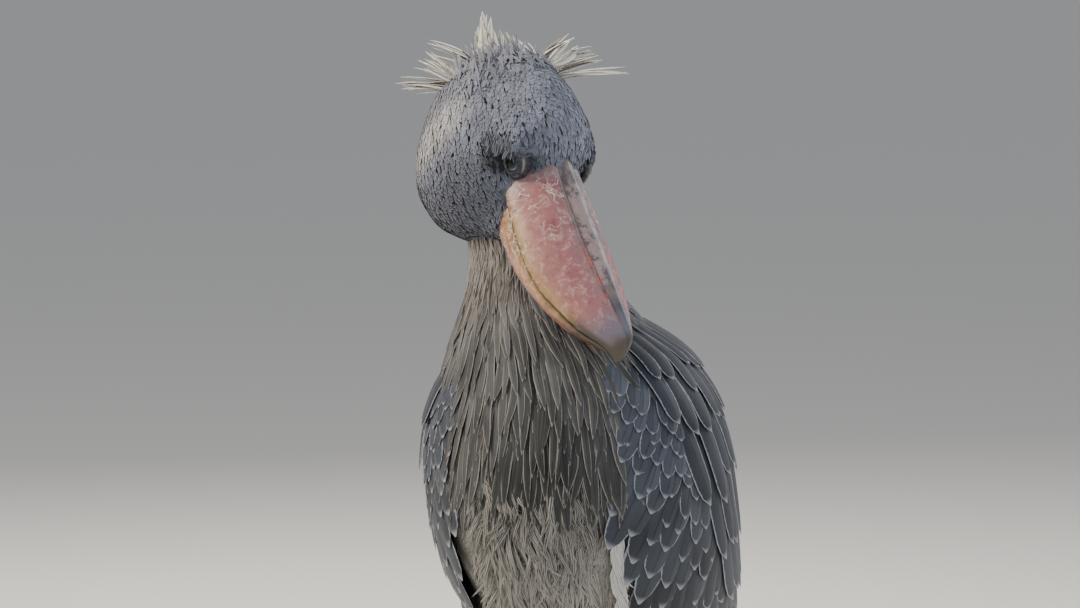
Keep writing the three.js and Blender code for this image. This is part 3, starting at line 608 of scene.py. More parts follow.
class ShoebillPlumage(bpy.types.PropertyGroup):
    plume_length: length_setting("Breast plume length", "Longest plume of the breast", 0.094)
    plume_width: length_setting("Breast plume width", "Full width of a breast plume", 0.0106)
    head_spacing: length_setting("Head feather spacing", "Distance between rows of head feathers", 0.0038)
    breast: colour_setting("Breast", "Grey of the breast plumes", "#6b6b69")
    breast_edge: colour_setting("Breast edges", "Pale fringe of the breast plumes", "#c3beb4")
    head: colour_setting("Head", "Blue grey of the head", "#7f8493")
    crest: colour_setting("Crest", "Cream of the crest", "#d8d4c6")
    flight: colour_setting("Flight feathers", "Slate of the flight feathers", "#2f343d")
    covert: colour_setting("Coverts", "Blue grey of the wing coverts", "#59606b")
    scapular: colour_setting("Scapulars", "Dark slate of the scapulars", "#363c46")
    tail: colour_setting("Tail", "Slate of the tail", "#4f5664")
    wing_edge: colour_setting("Wing edges", "Pale fringe of the feathers of wings, back and tail", "#b4b8be")


class ShoebillBare(bpy.types.PropertyGroup):
    bill: colour_setting("Bill", "Pink horn of the bill", "#b27a72")
    nail: colour_setting("Nail", "Hooked tip of the bill", "#4a4332")
    iris: colour_setting("Iris", "Grey teal iris", "#33444d")
    leg: colour_setting("Leg", "Dark grey skin of the legs", "#4b4a48")
    scute_size: length_setting("Scute size", "Width of one horny plate of the leg", 0.0058)
    scute_seed: bpy.props.IntProperty(name="Scute seed", description="Varies the plates", default=4, min=0)


class ShoebillStage(bpy.types.PropertyGroup):
    floor: colour_setting("Floor", "Plain pale floor", "#d9d7d2")
    floor_size: length_setting("Floor size", "Radius of the floor", 60.0)
    key_power: bpy.props.FloatProperty(
        name="Key light", description="Power of the main light", default=185.0, unit="POWER"
    )
    camera_distance: length_setting("Camera distance", "From the camera to the middle of the view", 4.2)


# Feather tracts


def spread_rows(skin, heights, turns, spacing, seed):
    """Roots in staggered rows down a sliced body: turns(z) gives the first and last turn of a row."""
    rng = np.random.default_rng(seed)
    rows = []
    for i, z in enumerate(heights):
        first, last = turns(z)
        girth = (skin.width(z) + skin.depth(z)) / 2
        step = math.degrees(spacing / max(girth, 5))
        turn = np.arange(first + (i % 2) * step / 2, last, step)
        jitter = rng.uniform(-0.35, 0.35, (2, len(turn)))
        rows.append(np.stack([turn + jitter[0] * step, z + jitter[1] * spacing], -1))
    return np.concatenate(rows)


def fall(skin, root, length, fan, low):
    """Tips that lie a length below their roots along the surface, no lower than low, fanned by a share of the turn."""
    z = root[:, 1]
    step = np.linalg.norm(skin.point(root[:, 0], z + 2) - skin.point(root[:, 0], z - 2), axis=-1) / 4
    tip_z = np.maximum(z - length / np.maximum(step, 1), low)
    return np.stack([root[:, 0] * (1 + fan), tip_z], -1)


THIGH_STATIONS = [
    [380, 64, 52, 12, 12], [391, 64, 50, 17, 17], [426, 64, 41, 28, 28], [484, 63, 29, 46, 46], [554, 61, 24, 60, 60],
    [612, 56, 34, 50, 50],
]
SHANK_STATIONS = [
    [16, 64, 36, 11, 11], [40, 64, 40, 10, 10], [70, 64, 45, 9.4, 9.4], [
        140, 64, 56, 8.7, 8.7
    ], [163, 64, 60, 8.8, 8.8],
    [
        222, 64, 70, 11.5, 12
    ], [253, 64, 74, 15, 16], [284, 64, 70, 11, 11.5], [334, 64, 61, 9.5, 9.5], [400, 64, 47, 9.5, 9.5],
]
COAT_END = 470  # no feather of breast, neck or back reaches lower than this
BELLY_END = 459
BELLY_ROUND = 540  # below this the belly tufts run all the way round
BELLY_STRANDS = 10
WING_END = 545  # above this the belly tufts keep clear of the folded wings
trunk = Sliced(TRUNK)
winged = Sliced(WINGED)
skull = Skull()


def mirrored(place, up):
    flip = np.array([-1.0, 1.0, 1.0])
    return place * flip, up * flip


class SHOEBILL_OT_skin(bpy.types.Operator):
    """Makes the one skin under the plumage, a few millimetres inside it"""

    bl_idname = "shoebill.skin"
    bl_label = "Skin"

    def execute(self, context):
        material = skin_material()
        heights = np.linspace(TRUNK[0][0] + 1, TRUNK[-1][0] - 1, 70)
        turn = np.linspace(0, 360, 64, endpoint=False)
        body = Sliced(TRUNK, -5.0).point(turn[None], heights[:, None])
        parts = [loft("body_form", body, material)]
        # Rings of the head stand closer together towards its two ends.
        x = -np.cos(np.linspace(0, np.pi, 40)[1:-1])
        x = np.interp(x, [x.min(), x.max()], [-136, 36])
        angle = np.radians(turn)
        inner = Skull(-3.5).point(x[:, None], angle[None])
        parts.append(loft("head_form", head_to_body(inner.reshape(-1, 3)).reshape(inner.shape), material))
        for side in (1, -1):
            leg = Sliced([[s[0], side * s[1], *s[2:]] for s in THIGH_STATIONS], -4.0)
            parts.append(loft("thigh_form", leg.point(turn[None], np.linspace(390, 606, 30)[:, None]), material))
        target = join(context, parts)
        remesh = target.modifiers.new("Remesh", "REMESH")
        remesh.mode = "VOXEL"
        remesh.voxel_size = 0.004
        remesh.use_smooth_shade = True
        smooth = target.modifiers.new("Smooth", "SMOOTH")
        smooth.iterations = 6
        obj = plain(context, target, "skin")
        mesh = obj.data
        mesh.materials.clear()
        mesh.materials.append(material)
        co = np.empty(len(mesh.vertices) * 3, np.float32)
        mesh.vertices.foreach_get("co", co)
        co = co.reshape(-1, 3) * METRE - SHIFT
        near = np.linalg.norm((co - HEAD_PLACE) @ HEAD_AXES - HEAD_MIDDLE, axis=1)
        share = (1 - ease(near, 88, 112))[:, None] * ease(co[:, 2], 860, 900)[:, None]
        colour = body_marking(co) * (1 - share) + head_marking(co) * share
        coat = mesh.attributes.new("coat", "FLOAT_VECTOR", "POINT")
        coat.data.foreach_set("vector", colour.astype(np.float32).ravel())
        finish_piece(obj, "feathers_grey", "torso", "neck", "head", "thigh_left", "thigh_right")
        return {"FINISHED"}


class SHOEBILL_OT_body_feathers(bpy.types.Operator):
    """Lays the plumes of the breast and neck, the tufts of the belly, and the feathers of the back and thighs"""

    bl_idname = "shoebill.body_feathers"
    bl_label = "Body feathers"

    def execute(self, context):
        look = context.scene.shoebill_plumage
        rng = np.random.default_rng(11)
        plume = feather_material("Breast plume keratin", look.breast_edge, 0.74, 0.45, 0.35, 40.0, 0.34)
        # Breast: long narrow plumes that hang free at their tips
        root = spread_rows(trunk, np.arange(886, 716, -9), lambda z: (-96, 96), 9.4, 21)
        z = root[:, 1]
        longest = look.plume_length * METRE
        length = np.interp(z, [720, 760, 850, 900], [longest * 0.85, longest, longest * 0.8, 44])
        length = length * rng.uniform(0.75, 1.12, len(z))
        half = np.interp(z, [700, 860, 900], [1.0, 0.8, 0.5]) * look.plume_width * METRE / 2
        half = half * rng.uniform(0.7, 1.15, len(z))
        tip = fall(trunk, root, length, 0.02, COAT_END)
        tip[:, 0] += rng.normal(0, 2.2, len(z))
        lift = (np.full(len(z), -3.0), np.interp(z, [720, 820, 900], [10.0, 8.0, 3.0]) * rng.uniform(0.3, 1.4, len(z)))
        place, up = lie(trunk, root, tip, 8, lift)
        obj = feathers("plumes_breast", plume, place, up, half, "plume", wave=0.035, seed=22, crown=0.35, thick=0.8)
        finish_piece(obj, "feathers_grey")
        # Neck and the down between the plumes: fine soft strands
        down = feather_material("Neck down", "#cdc6bb", 0.4, 0.3, 0.05, 24.0, 0.09, 0.8)
        root = spread_rows(trunk, np.arange(980, 700, -5.2), lambda z: (-110, 110), 4.6, 31)
        length = np.interp(root[:, 1], [700, 840, 900, 970], [26, 30, 30, 18]) * rng.uniform(0.7, 1.2, len(root))
        tip = fall(trunk, root, length, 0.0, COAT_END)
        tip[:, 0] += rng.normal(0, 2.2, len(root))
        place, up = lie(trunk, root, tip, 3, (-1.5, rng.uniform(1.0, 3.4, len(root))))
        obj = feathers("down_neck", down, place, up, rng.uniform(0.5, 1.25, len(root)), "down", wave=0.05, seed=32)
        finish_piece(obj, "feathers_grey")
        # Belly: clumps of loose pale strands
        belly = feather_material("Belly down", "#d6d0c4", 0.3, 0.45, 0.05, 22.0, 0.16, 0.8)
        clump = spread_rows(
            trunk, np.arange(700, 474, -12), lambda z: (-100, 100) if z > BELLY_ROUND else (-178, 178), 14.0, 41
        )
        root = np.repeat(clump, BELLY_STRANDS, axis=0)
        reach = np.repeat(rng.uniform(28, 48, len(clump)), BELLY_STRANDS) * rng.uniform(0.7, 1.1, len(root))
        swing = np.repeat(rng.normal(0, 5.5, len(clump)), BELLY_STRANDS) + rng.normal(0, 1.9, len(root))
        root = root + rng.normal(0, 1, root.shape) * [1.6, 4.0]
        tip = fall(trunk, root, reach, 0.0, BELLY_END)
        tip[:, 0] += swing
        high = np.repeat(rng.uniform(3, 17, len(clump)), BELLY_STRANDS) + rng.uniform(-3, 2, len(root))
        high = np.where(root[:, 1] > WING_END, high * np.interp(np.abs(root[:, 0]), [17, 31], [1.0, 0.1]), high)
        tip[:, 0] = np.where(root[:, 1] > WING_END, np.clip(tip[:, 0], -100, np.maximum(root[:, 0], 30)), tip[:, 0])
        place, up = lie(trunk, root, tip, 3, (-1.5, high))
        half = rng.uniform(0.8, 1.9, len(root))
        coat = body_marking(place[:, 0]) * np.repeat(rng.uniform(0.55, 1.5, len(clump)), BELLY_STRANDS)[:, None]
        obj = feathers("tufts_belly", belly, place, up, half, "down", wave=0.07, seed=42, coat=coat)
        finish_piece(obj, "feathers_grey")
        # Nape, mantle and back
        mantle = feather_material("Mantle keratin", look.wing_edge, 0.82, 0.45, 0.25)
        root = np.concatenate([
            spread_rows(trunk, np.arange(975, 850, -9), lambda z: (88, 272), 8.0, 51),
            spread_rows(trunk, np.arange(846, 500, -17), lambda z: (88, 272), 15.0, 53),
        ])
        z = root[:, 1]
        length = np.interp(z, [540, 780, 880, 960], [52, 48, 32, 22]) * rng.uniform(0.9, 1.1, len(z))
        half = np.interp(z, [700, 820, 870, 960], [12.0, 10.0, 5.0, 2.4])
        turned = root.copy()
        turned[:, 0] -= 180
        tip = fall(trunk, turned, length, -0.03, COAT_END)
        tip[:, 0] += 180
        place, up = lie(trunk, root, tip, 5, (-2.5, np.interp(z, [760, 960], [4.0, 2.0])))
        obj = feathers("feathers_back", mantle, place, up, half, "covert", columns=5, crown=0.16, seed=52)
        finish_piece(obj, "feathers_grey")
        # Thighs
        thigh = feather_material("Thigh keratin", "#b3b2ae", 0.6, 0.5, 0.2)
        for side, name in SIDES:
            leg = Sliced([[s[0], side * s[1], *s[2:]] for s in THIGH_STATIONS])
            root = spread_rows(leg, np.arange(604, 392, -7), lambda z: (-180, 180), 8.0, 61 + side)
            tip = fall(leg, root, rng.uniform(26, 38, len(root)), 0.0, 381)
            place, up = lie(leg, root, tip, 4, (-2.0, 3.0))
            coat = np.broadcast_to(rgb("#777a80"), (len(root), 3)) * rng.uniform(0.8, 1.15, (len(root), 1))
            obj = feathers(
                "feathers_thigh_" + name, thigh, place, up, rng.uniform(2.6, 4.2, len(root)), seed=63 + side, coat=coat
            )
            finish_piece(obj, "feathers_grey")
        return {"FINISHED"}


# Tiers of the left wing from the deepest to the outermost:
# number, roots from first to last, tips from first to last as [turn, height], half width, lifts
WING_TIERS = [
    [7, [[152, 575], [100, 560]], [[177, 396], [134, 412]], 16, (-14, -7)],
    [10, [[122, 620], [62, 625]], [[126, 436], [46, 500]], 18, (-14, -6)],
    [13, [[130, 690], [62, 680]], [[132, 520], [40, 548]], 16, (-12, -5)],
    [5, [[176, 610], [148, 620]], [[178, 446], [160, 456]], 17, (-13, -5.5)],
    [6, [[174, 660], [140, 690]], [[176, 500], [138, 520]], 17, (-12, -4)],
]
# Rows of coverts that point down and forwards: height of the first tip, length, half width, lift of the tips
COVERT_ROWS = [
    [586, 124, 18.0, -4.5], [622, 108, 16.5, -3.8], [655, 95, 15.0, -3.2], [686, 82, 13.5, -2.6], [713, 70, 12.0, -2.0],
    [738, 60, 10.6, -1.4], [760, 52, 9.6, -0.9], [780, 45, 8.6, -0.3],
]
# Long dark scapulars over the back edge of the coverts: number, roots, tips, half width, lifts
SCAPULARS = [
    [9, [[152, 742], [84, 716]], [[152, 580], [92, 556]], 14, (-10, 0)],
    [9, [[148, 776], [74, 758]], [[150, 640], [84, 610]], 13, (-9.5, 1.0)],
    [9, [[142, 806], [64, 796]], [[146, 694], [75, 670]], 12, (-9, 2.0)],
    [9, [[134, 830], [56, 826]], [[138, 744], [63, 730]], 11, (-8, 2.6)],
    [8, [[124, 846], [62, 846]], [[128, 790], [60, 786]], 9.5, (-7, 2.6)],
]
SPINE = [[556, 92], [610, 86], [652, 77], [682, 71], [727, 63], [800, 54]]


def lines(count, ends):
    """Evenly spaced places between two ends."""
    share = np.linspace(0, 1, count)[:, None]
    return np.array(ends[0], float) * (1 - share) + np.array(ends[1], float) * share


class SHOEBILL_OT_wings(bpy.types.Operator):
    """Lays the folded wings: flight feathers, rows of coverts and scapulars, and the pale strip before the left wing"""

    bl_idname = "shoebill.wings"
    bl_label = "Wings"

    def execute(self, context):
        look = context.scene.shoebill_plumage
        flight = feather_material("Flight feather keratin", look.wing_edge, 0.9, 0.75, 0.35, 60.0, 0.3, 0.5)
        covert = feather_material("Wing covert keratin", look.wing_edge, 0.84, 0.75, 0.3, 40.0, 0.28, 0.55)
        spine = along(SPINE)
        for side, name in SIDES:
            rng = np.random.default_rng(70 + side)
            pieces = {"flights": [], "coverts": [], "scapulars": []}
            for count, roots, tips, half, lift in WING_TIERS:
                tip = lines(count, tips) + rng.normal(0, 1, (count, 2)) * [1.0, 4.0]
                top = lift[1] + (np.arange(count) % 2) * 0.9 + rng.uniform(-0.4, 0.4, count)
                place, up = lie(winged, lines(count, roots), tip, 12, (np.full(count, float(lift[0])), top))
                pieces["flights"].append((place, up, np.full(count, float(half))))
            for low, length, half, high in COVERT_ROWS:
                back = spine(low - 30) + 5
                front = np.interp(low, [586, 630, 700], [35, 31, 36]) + rng.uniform(-1, 1)
                turn = np.arange(front, back, half * 1.12 * 0.40)
                count = len(turn)
                drop = 2.0 * (turn - 36)
                tip = np.stack([turn, low - drop], -1) + rng.normal(0, 1, (count, 2)) * [1.1, 4.0]
                lean = np.interp(turn, [36, back], [21, 9]) * length / 90
                root = tip + np.stack([lean, length * rng.uniform(0.94, 1.05, count)], -1)
                top = high + rng.uniform(-0.8, 0.8, count)
                place, up = lie(winged, root, tip, 10, (np.full(count, -11.0), top))
                pieces["coverts"].append((place, up, half * rng.uniform(0.88, 1.08, count)))
            for count, roots, tips, half, lift in SCAPULARS:
                tip = lines(count, tips) + rng.normal(0, 1, (count, 2)) * [1.4, 7.0]
                top = lift[1] + rng.uniform(-0.7, 0.7, count)
                place, up = lie(winged, lines(count, roots), tip, 10, (np.full(count, float(lift[0])), top))
                pieces["scapulars"].append((place, up, half * rng.uniform(0.9, 1.1, count)))
            for kind, material, shape, base in (
                ("flights", flight, "flight", look.flight), ("coverts", covert, "covert", look.covert),
                ("scapulars", covert, "flight", look.scapular),
            ):
                place, up, half = (np.concatenate([g[k] for g in pieces[kind]]) for k in range(3))
                place[..., 0] = np.maximum(place[..., 0], 2.0)
                if side < 0:
                    place, up = mirrored(place, up)
                coat = np.broadcast_to(rgb(base), (len(half), 3)) * rng.uniform(0.75, 1.2, (len(half), 1))
                if kind == "coverts":  # the lower rows are darker, and start higher on the far wing
                    far = side < 0
                    low = ease(-place[:, -1, 2], -690 - 70 * far, -590 - 50 * far)[:, None]
                    coat = coat * (1 - 0.5 * low)
                obj = feathers(
                    "wing_" + kind + "_" + name, material, place, up, half, shape, 9, 0.16, 0.9, 0.012, 80 + side, coat
                )
                finish_piece(obj, "feathers_slate", *(["wing_" + name] if kind == "flights" else []))
        pale = feather_material("White flank down", "#efece8", 0.4, 0.6, 0.05, 20.0, 0.1)
        rng = np.random.default_rng(77)
        count = 120
        root = np.stack([rng.uniform(33.6, 36.0, count), rng.uniform(548, 650, count)], -1)
        tip = root + np.stack([rng.normal(1, 1.5, count), -rng.uniform(26, 44, count)], -1)
        place, up = lie(winged, root, tip, 4, (-9.0, rng.uniform(-8.0, -4.0, count)))
        coat = np.broadcast_to(rgb("#cfccc8"), (count, 3))
        obj = feathers(
            "strip_flank", pale, place, up, rng.uniform(1.0, 2.2, count), "down", wave=0.06, seed=78, coat=coat
        )
        finish_piece(obj, "feathers_grey")
        return {"FINISHED"}


TAIL_ROOT = np.array([0.0, 196.0, 506.0])
TAIL_LENGTH = 214.0
TAIL_SLOPE = math.radians(48)
TAIL_SPREAD = math.radians(13)
# Name, number, share of the spread, half width, height over the tail's plane, length
TAIL_LAYERS = [
    ("feathers", 12, 1.0, 15.0, 0.0, TAIL_LENGTH), ("coverts_upper", 11, 0.8, 13.0, 7.0, 120.0),
    ("coverts_back", 9, 0.6, 12.0, 12.0, 82.0), ("coverts_under", 9, 0.7, 12.0, -11.0, 95.0),
]


class SHOEBILL_OT_tail(bpy.types.Operator):
    """Lays the tail's twelve feathers and the coverts over and under their roots"""

    bl_idname = "shoebill.tail"
    bl_label = "Tail"

    def execute(self, context):
        look = context.scene.shoebill_plumage
        material = feather_material("Tail feather keratin", look.wing_edge, 0.9, 0.6, 0.35, 60.0, 0.3, 0.5)
        up_way = np.array([0, math.sin(TAIL_SLOPE), math.cos(TAIL_SLOPE)])
        for name, count, spread, half, high, reach in TAIL_LAYERS:
            share = np.linspace(-1, 1, count)
            turn = share * TAIL_SPREAD * spread
            way = np.stack(
                [np.sin(turn), np.cos(turn) * math.cos(TAIL_SLOPE), -np.cos(turn) * math.sin(TAIL_SLOPE)], -1
            )
            root = TAIL_ROOT + np.outer(share * 12, [1, 0, 0]) + up_way * high * 0.3
            s = shares(10)[None, :, None]
            drop = -np.abs(share) * 9 - (np.arange(count) % 2) * 1.3 + high
            place = root[:, None] + way[:, None] * s * (reach * (1 - 0.05 * share**2))[:, None, None]
            place = place + up_way * (drop[:, None, None] * np.minimum(1, s * 2)) * (1 - 0.5 * s * (abs(high) > 1))
            obj = feathers(
                "tail_" + name, material, place, np.broadcast_to(up_way, place.shape), np.full(count, half), "flight",
                7, 0.1, 1.0, seed=90, coat=np.broadcast_to(rgb(look.tail), (count, 3)),
            )
            finish_piece(obj, "feathers_slate", *(["tail"] if name == "feathers" else []))
        return {"FINISHED"}


# Crest in three fans at the back of the crown: root, tip and half width, in the head's frame
CREST = [
    [[-137, -25, -25], [-163, -54, -56], 4.4], [[-130, -29, -24], [-158, -47, -57], 4.0],
    [[-143, -16, -20], [-181, -28, -38], 4.2], [[-142, -20, -13], [-181, -29, -25], 4.4],
    [[-144, -16, 7], [-181, -37, -13], 4.6], [[-142, 3, 6], [-176, 2, 17], 4.4],
    [[-137, 0, 12], [-193, 12, 28], 5.4], [[-130, -1, 17], [-168, 11, 31], 4.6],
    [[-138, 16, 20], [-163, 11, 37], 4.6], [[-131, 19, 34], [-165, 26, 33], 4.2],
    [[-123, 24, 45], [-154, 36, 34], 4.4], [[-123, 39, 41], [-133, 54, 71], 4.4],
    [[-118, 37, 48], [-129, 62, 75], 4.6], [[-110, 42, 61], [-127, 76, 66], 4.2],
    [[-114, 55, 55], [-112, 83, 74], 4.4], [[-102, 50, 54], [-98, 78, 81], 4.2],
    [[-94, 48, 56], [-82, 102, 85], 4.4],
]


class SHOEBILL_OT_head_feathers(bpy.types.Operator):
    """Lays the short feathers of the head, which flow back from the bill, and the crest"""

    bl_idname = "shoebill.head_feathers"
    bl_label = "Head feathers and crest"

    def execute(self, context):
        look = context.scene.shoebill_plumage
        rng = np.random.default_rng(101)
        spacing = look.head_spacing * METRE
        roots = []
        for i, x in enumerate(np.arange(34, -137, -spacing)):
            girth = (skull.width(x) + (skull.top(x) - skull.bottom(x)) / 2) / 2
            step = spacing * 1.05 / max(girth, 8)
            angle = np.arange((i % 2) * step / 2, 2 * np.pi, step)
            roots.append(np.stack([np.full(len(angle), x), angle], -1))
        root = np.concatenate(roots)
        root = root + rng.uniform(-0.4, 0.4, root.shape) * [spacing, spacing / 60]
        local = skull.point(root[:, 0], root[:, 1])
        eye = EYE_PLACE * np.array([[1, 1, 1], [1, -1, 1]])[:, None]
        # Distance to the eye, seen from the side: the eye of the other side counts as far away.
        offset = (local[None] - eye - [[[1, 0, 0]]])[..., [0, 2]]
        away = np.min(np.linalg.norm(offset, axis=-1) + (local[None, :, 1] * eye[..., 1] < 0) * 99, axis=0)
        keep = away > 11.5
        root, away = root[keep], away[keep]
        ahead = skull.point(root[:, 0] + 1, root[:, 1]) - skull.point(root[:, 0] - 1, root[:, 1])
        step = np.linalg.norm(ahead, axis=-1) / 2
        length = rng.uniform(10.5, 15.0, len(root)) * np.interp(away, [10, 30], [0.3, 1.0])
        length = length * np.interp(root[:, 0], [-130, -60, 20], [1.5, 1.0, 0.7])
        tip = root - np.stack(
            [np.minimum(length / np.maximum(step, 1), root[:, 0] + HEAD_BACK), rng.normal(0, 0.02, len(root))], -1
        )
        place, up = lie(skull, root, tip, 3, (-0.8, rng.uniform(0.5, 1.2, len(root))))
        place, up = head_to_body(place), turn_to_body(up)
        material = feather_material("Head feather keratin", "#b2b3bc", 0.6, 0.25, 0.08, 12.0, 0.13, 0.8)
        half = rng.uniform(1.5, 2.6, len(root)) * np.interp(away, [10, 30], [0.5, 1.0])
        coat = head_marking(place[:, 0])
        obj = feathers("feathers_head", material, place, up, half, "short", crown=0.3, thick=0.3, seed=102, coat=coat)
        finish_piece(obj, "feathers_head")
        # Soft loose barbs over them
        pick = rng.random(len(root)) < 0.8
        soft = root[pick] + rng.normal(0, 1, (pick.sum(), 2)) * [2.0, 0.03]
        back = soft - np.stack(
            [np.minimum(length[pick] * 1.15, soft[:, 0] + HEAD_BACK), rng.normal(0, 0.06, len(soft))], -1
        )
        place, up = lie(skull, soft, back, 3, (-0.5, rng.uniform(1.0, 2.6, len(soft))))
        place, up = head_to_body(place), turn_to_body(up)
        hair = feather_material("Loose head barbs", "#bcbdc4", 0.4, 0.3, 0.0, 10.0, 0.12, 0.85)
        obj = feathers(
            "barbs_head", hair, place, up, rng.uniform(0.28, 0.6, len(soft)), "down", wave=0.08, seed=105, thick=0.25,
            coat=head_marking(place[:, 0]) * 1.1,
        )
        finish_piece(obj, "feathers_head")
        # Stiff brow feathers stand out over each eye
        count = 420
        run, rise = rng.uniform(-26, 18, count), rng.uniform(-4, 6, count)
        side = np.where(rng.random(count) < 0.5, 1.0, -1.0)
        x = -21 + 0.84 * run - 0.54 * rise
        height = 29 + 0.54 * run + 0.84 * rise
        middle = (skull.top(x) + skull.bottom(x)) / 2
        angle = side * np.arccos(np.clip((height - middle) / ((skull.top(x) - skull.bottom(x)) / 2), -1, 1))
        start, out = skull.point(x, angle), skull.outward(x, angle)
        ahead = np.stack([np.full(count, 0.42), side * 0.5, np.full(count, -0.32)], -1)
        way = unit(out * 0.7 + ahead + rng.normal(0, 0.12, (count, 3)))
        reach = rng.uniform(8.5, 13, count) * np.exp(-((run / 26) ** 2))
        s = shares(4)[None, :, None]
        place = start[:, None] - out[:, None] * 1.5 + way[:, None] * (reach[:, None, None] * s)
        up = np.broadcast_to(unit(out + [0, 0, 0.8])[:, None], place.shape)
        coat = toward(head_marking(head_to_body(start)), "#666b78", np.full(count, 0.55))
        place, up = head_to_body(place), turn_to_body(up)
        obj = feathers(
            "feathers_brow", material, place, up, rng.uniform(1.2, 2.2, count), "short", thick=0.3, seed=107, coat=coat
        )
        finish_piece(obj, "feathers_head")
        # Loose feathers that rise at the back of the crown, blue grey at the root of the crest
        count = 620
        x, angle = rng.uniform(-137, -84, count), rng.uniform(-1.35, 1.35, count)
        start, out = skull.point(x, angle), skull.outward(x, angle)
        way = unit(
            out * rng.uniform(0.35, 1.0, (count, 1)) + np.array([-1.0, 0, 0.25]) + rng.normal(0, 0.22, (count, 3))
        )
        reach = rng.uniform(9, 26, count) * np.interp(x, [-137, -84], [1.15, 0.6])
        s = shares(4)[None, :, None]
        place = start[:, None] - out[:, None] * 2 + way[:, None] * (reach[:, None, None] * s)
        up = np.broadcast_to(out[:, None], place.shape)
        coat = toward(head_marking(head_to_body(start)), "#b5b5b6", ease(-x, 100, 137) * 0.6)
        place, up = head_to_body(place), turn_to_body(up)
        obj = feathers(
            "tufts_crown", hair, place, up, rng.uniform(0.6, 1.7, count), "plume", wave=0.08, seed=106, coat=coat
        )
        finish_piece(obj, "feathers_head")
        # Crest: each solid feather becomes a small bunch of frayed ones
        cream = feather_material("Crest keratin", "#f6f3ea", 0.5, 0.75, 0.85, 14.0, 0.14, 0.6)
        s = shares(8)[None, :, None]
        places, ups, halves = [], [], []
        for root, tip, half in CREST:
            root, tip = np.array(root, float), np.array(tip, float)
            way = (tip - root) / np.linalg.norm(tip - root)
            root = root - way * 20
            away = unit((root - HEAD_MIDDLE)[None])[0]
            across = unit(np.cross(away, way)[None])[0]
            up = np.cross(way, across)
            for k in range(7):
                start = root + across * rng.normal(0, 3) + up * rng.normal(0, 2)
                stray = k > 0  # the first of a bunch runs straight to its tip
                end = tip + across * rng.normal(0, 5) * stray + up * rng.normal(0, 4) * stray
                end = end - way * rng.uniform(0, 14) * stray
                line = start + (end - start) * s[0]
                line = line + up * (0.05 + rng.normal(0, 0.02)) * np.linalg.norm(end - start) * 4 * s[0] * (1 - s[0])
                places.append(head_to_body(line))
                ups.append(np.broadcast_to(turn_to_body(up), line.shape))
                halves.append(half * (1.2 if k == 0 else rng.uniform(0.5, 0.85)))
        coat = np.broadcast_to(rgb(look.crest), (len(halves), 3))
        obj = feathers(
            "crest", cream, np.array(places), np.array(ups), np.array(halves), "plume", 5, 0.3, 0.6, 0.03, 103, coat
        )
        finish_piece(obj, "feathers_head")
        return {"FINISHED"}


def skin_material():
    """Skin with its ground coat of down: matt, and darkened towards black as painted shade, so that gaps between
    feathers read as shade.
    """
    material, tree, shader = start_material("Downy skin", 0.95)
    place = add(tree, "ShaderNodeTexCoord").outputs["Object"]
    coat = add(tree, "ShaderNodeAttribute", attribute_name="coat").outputs["Color"]
    # Tufts of down some 11 mm across
    tufts = add(tree, "ShaderNodeTexNoise", {"Vector": place, "Scale": 90.0, "Detail": 5.0})
    # Painted shade: the coat is darkened towards near black by 4 to 34 per cent.
    shade = add(tree, "ShaderNodeMath", {0: tufts, 1: 0.3, 2: 0.04}, operation="MULTIPLY_ADD")
    surface(tree, shader, paint(tree, coat, (shade, 1.0, "#141518")), tufts, 0.6, 1.0)
    return material


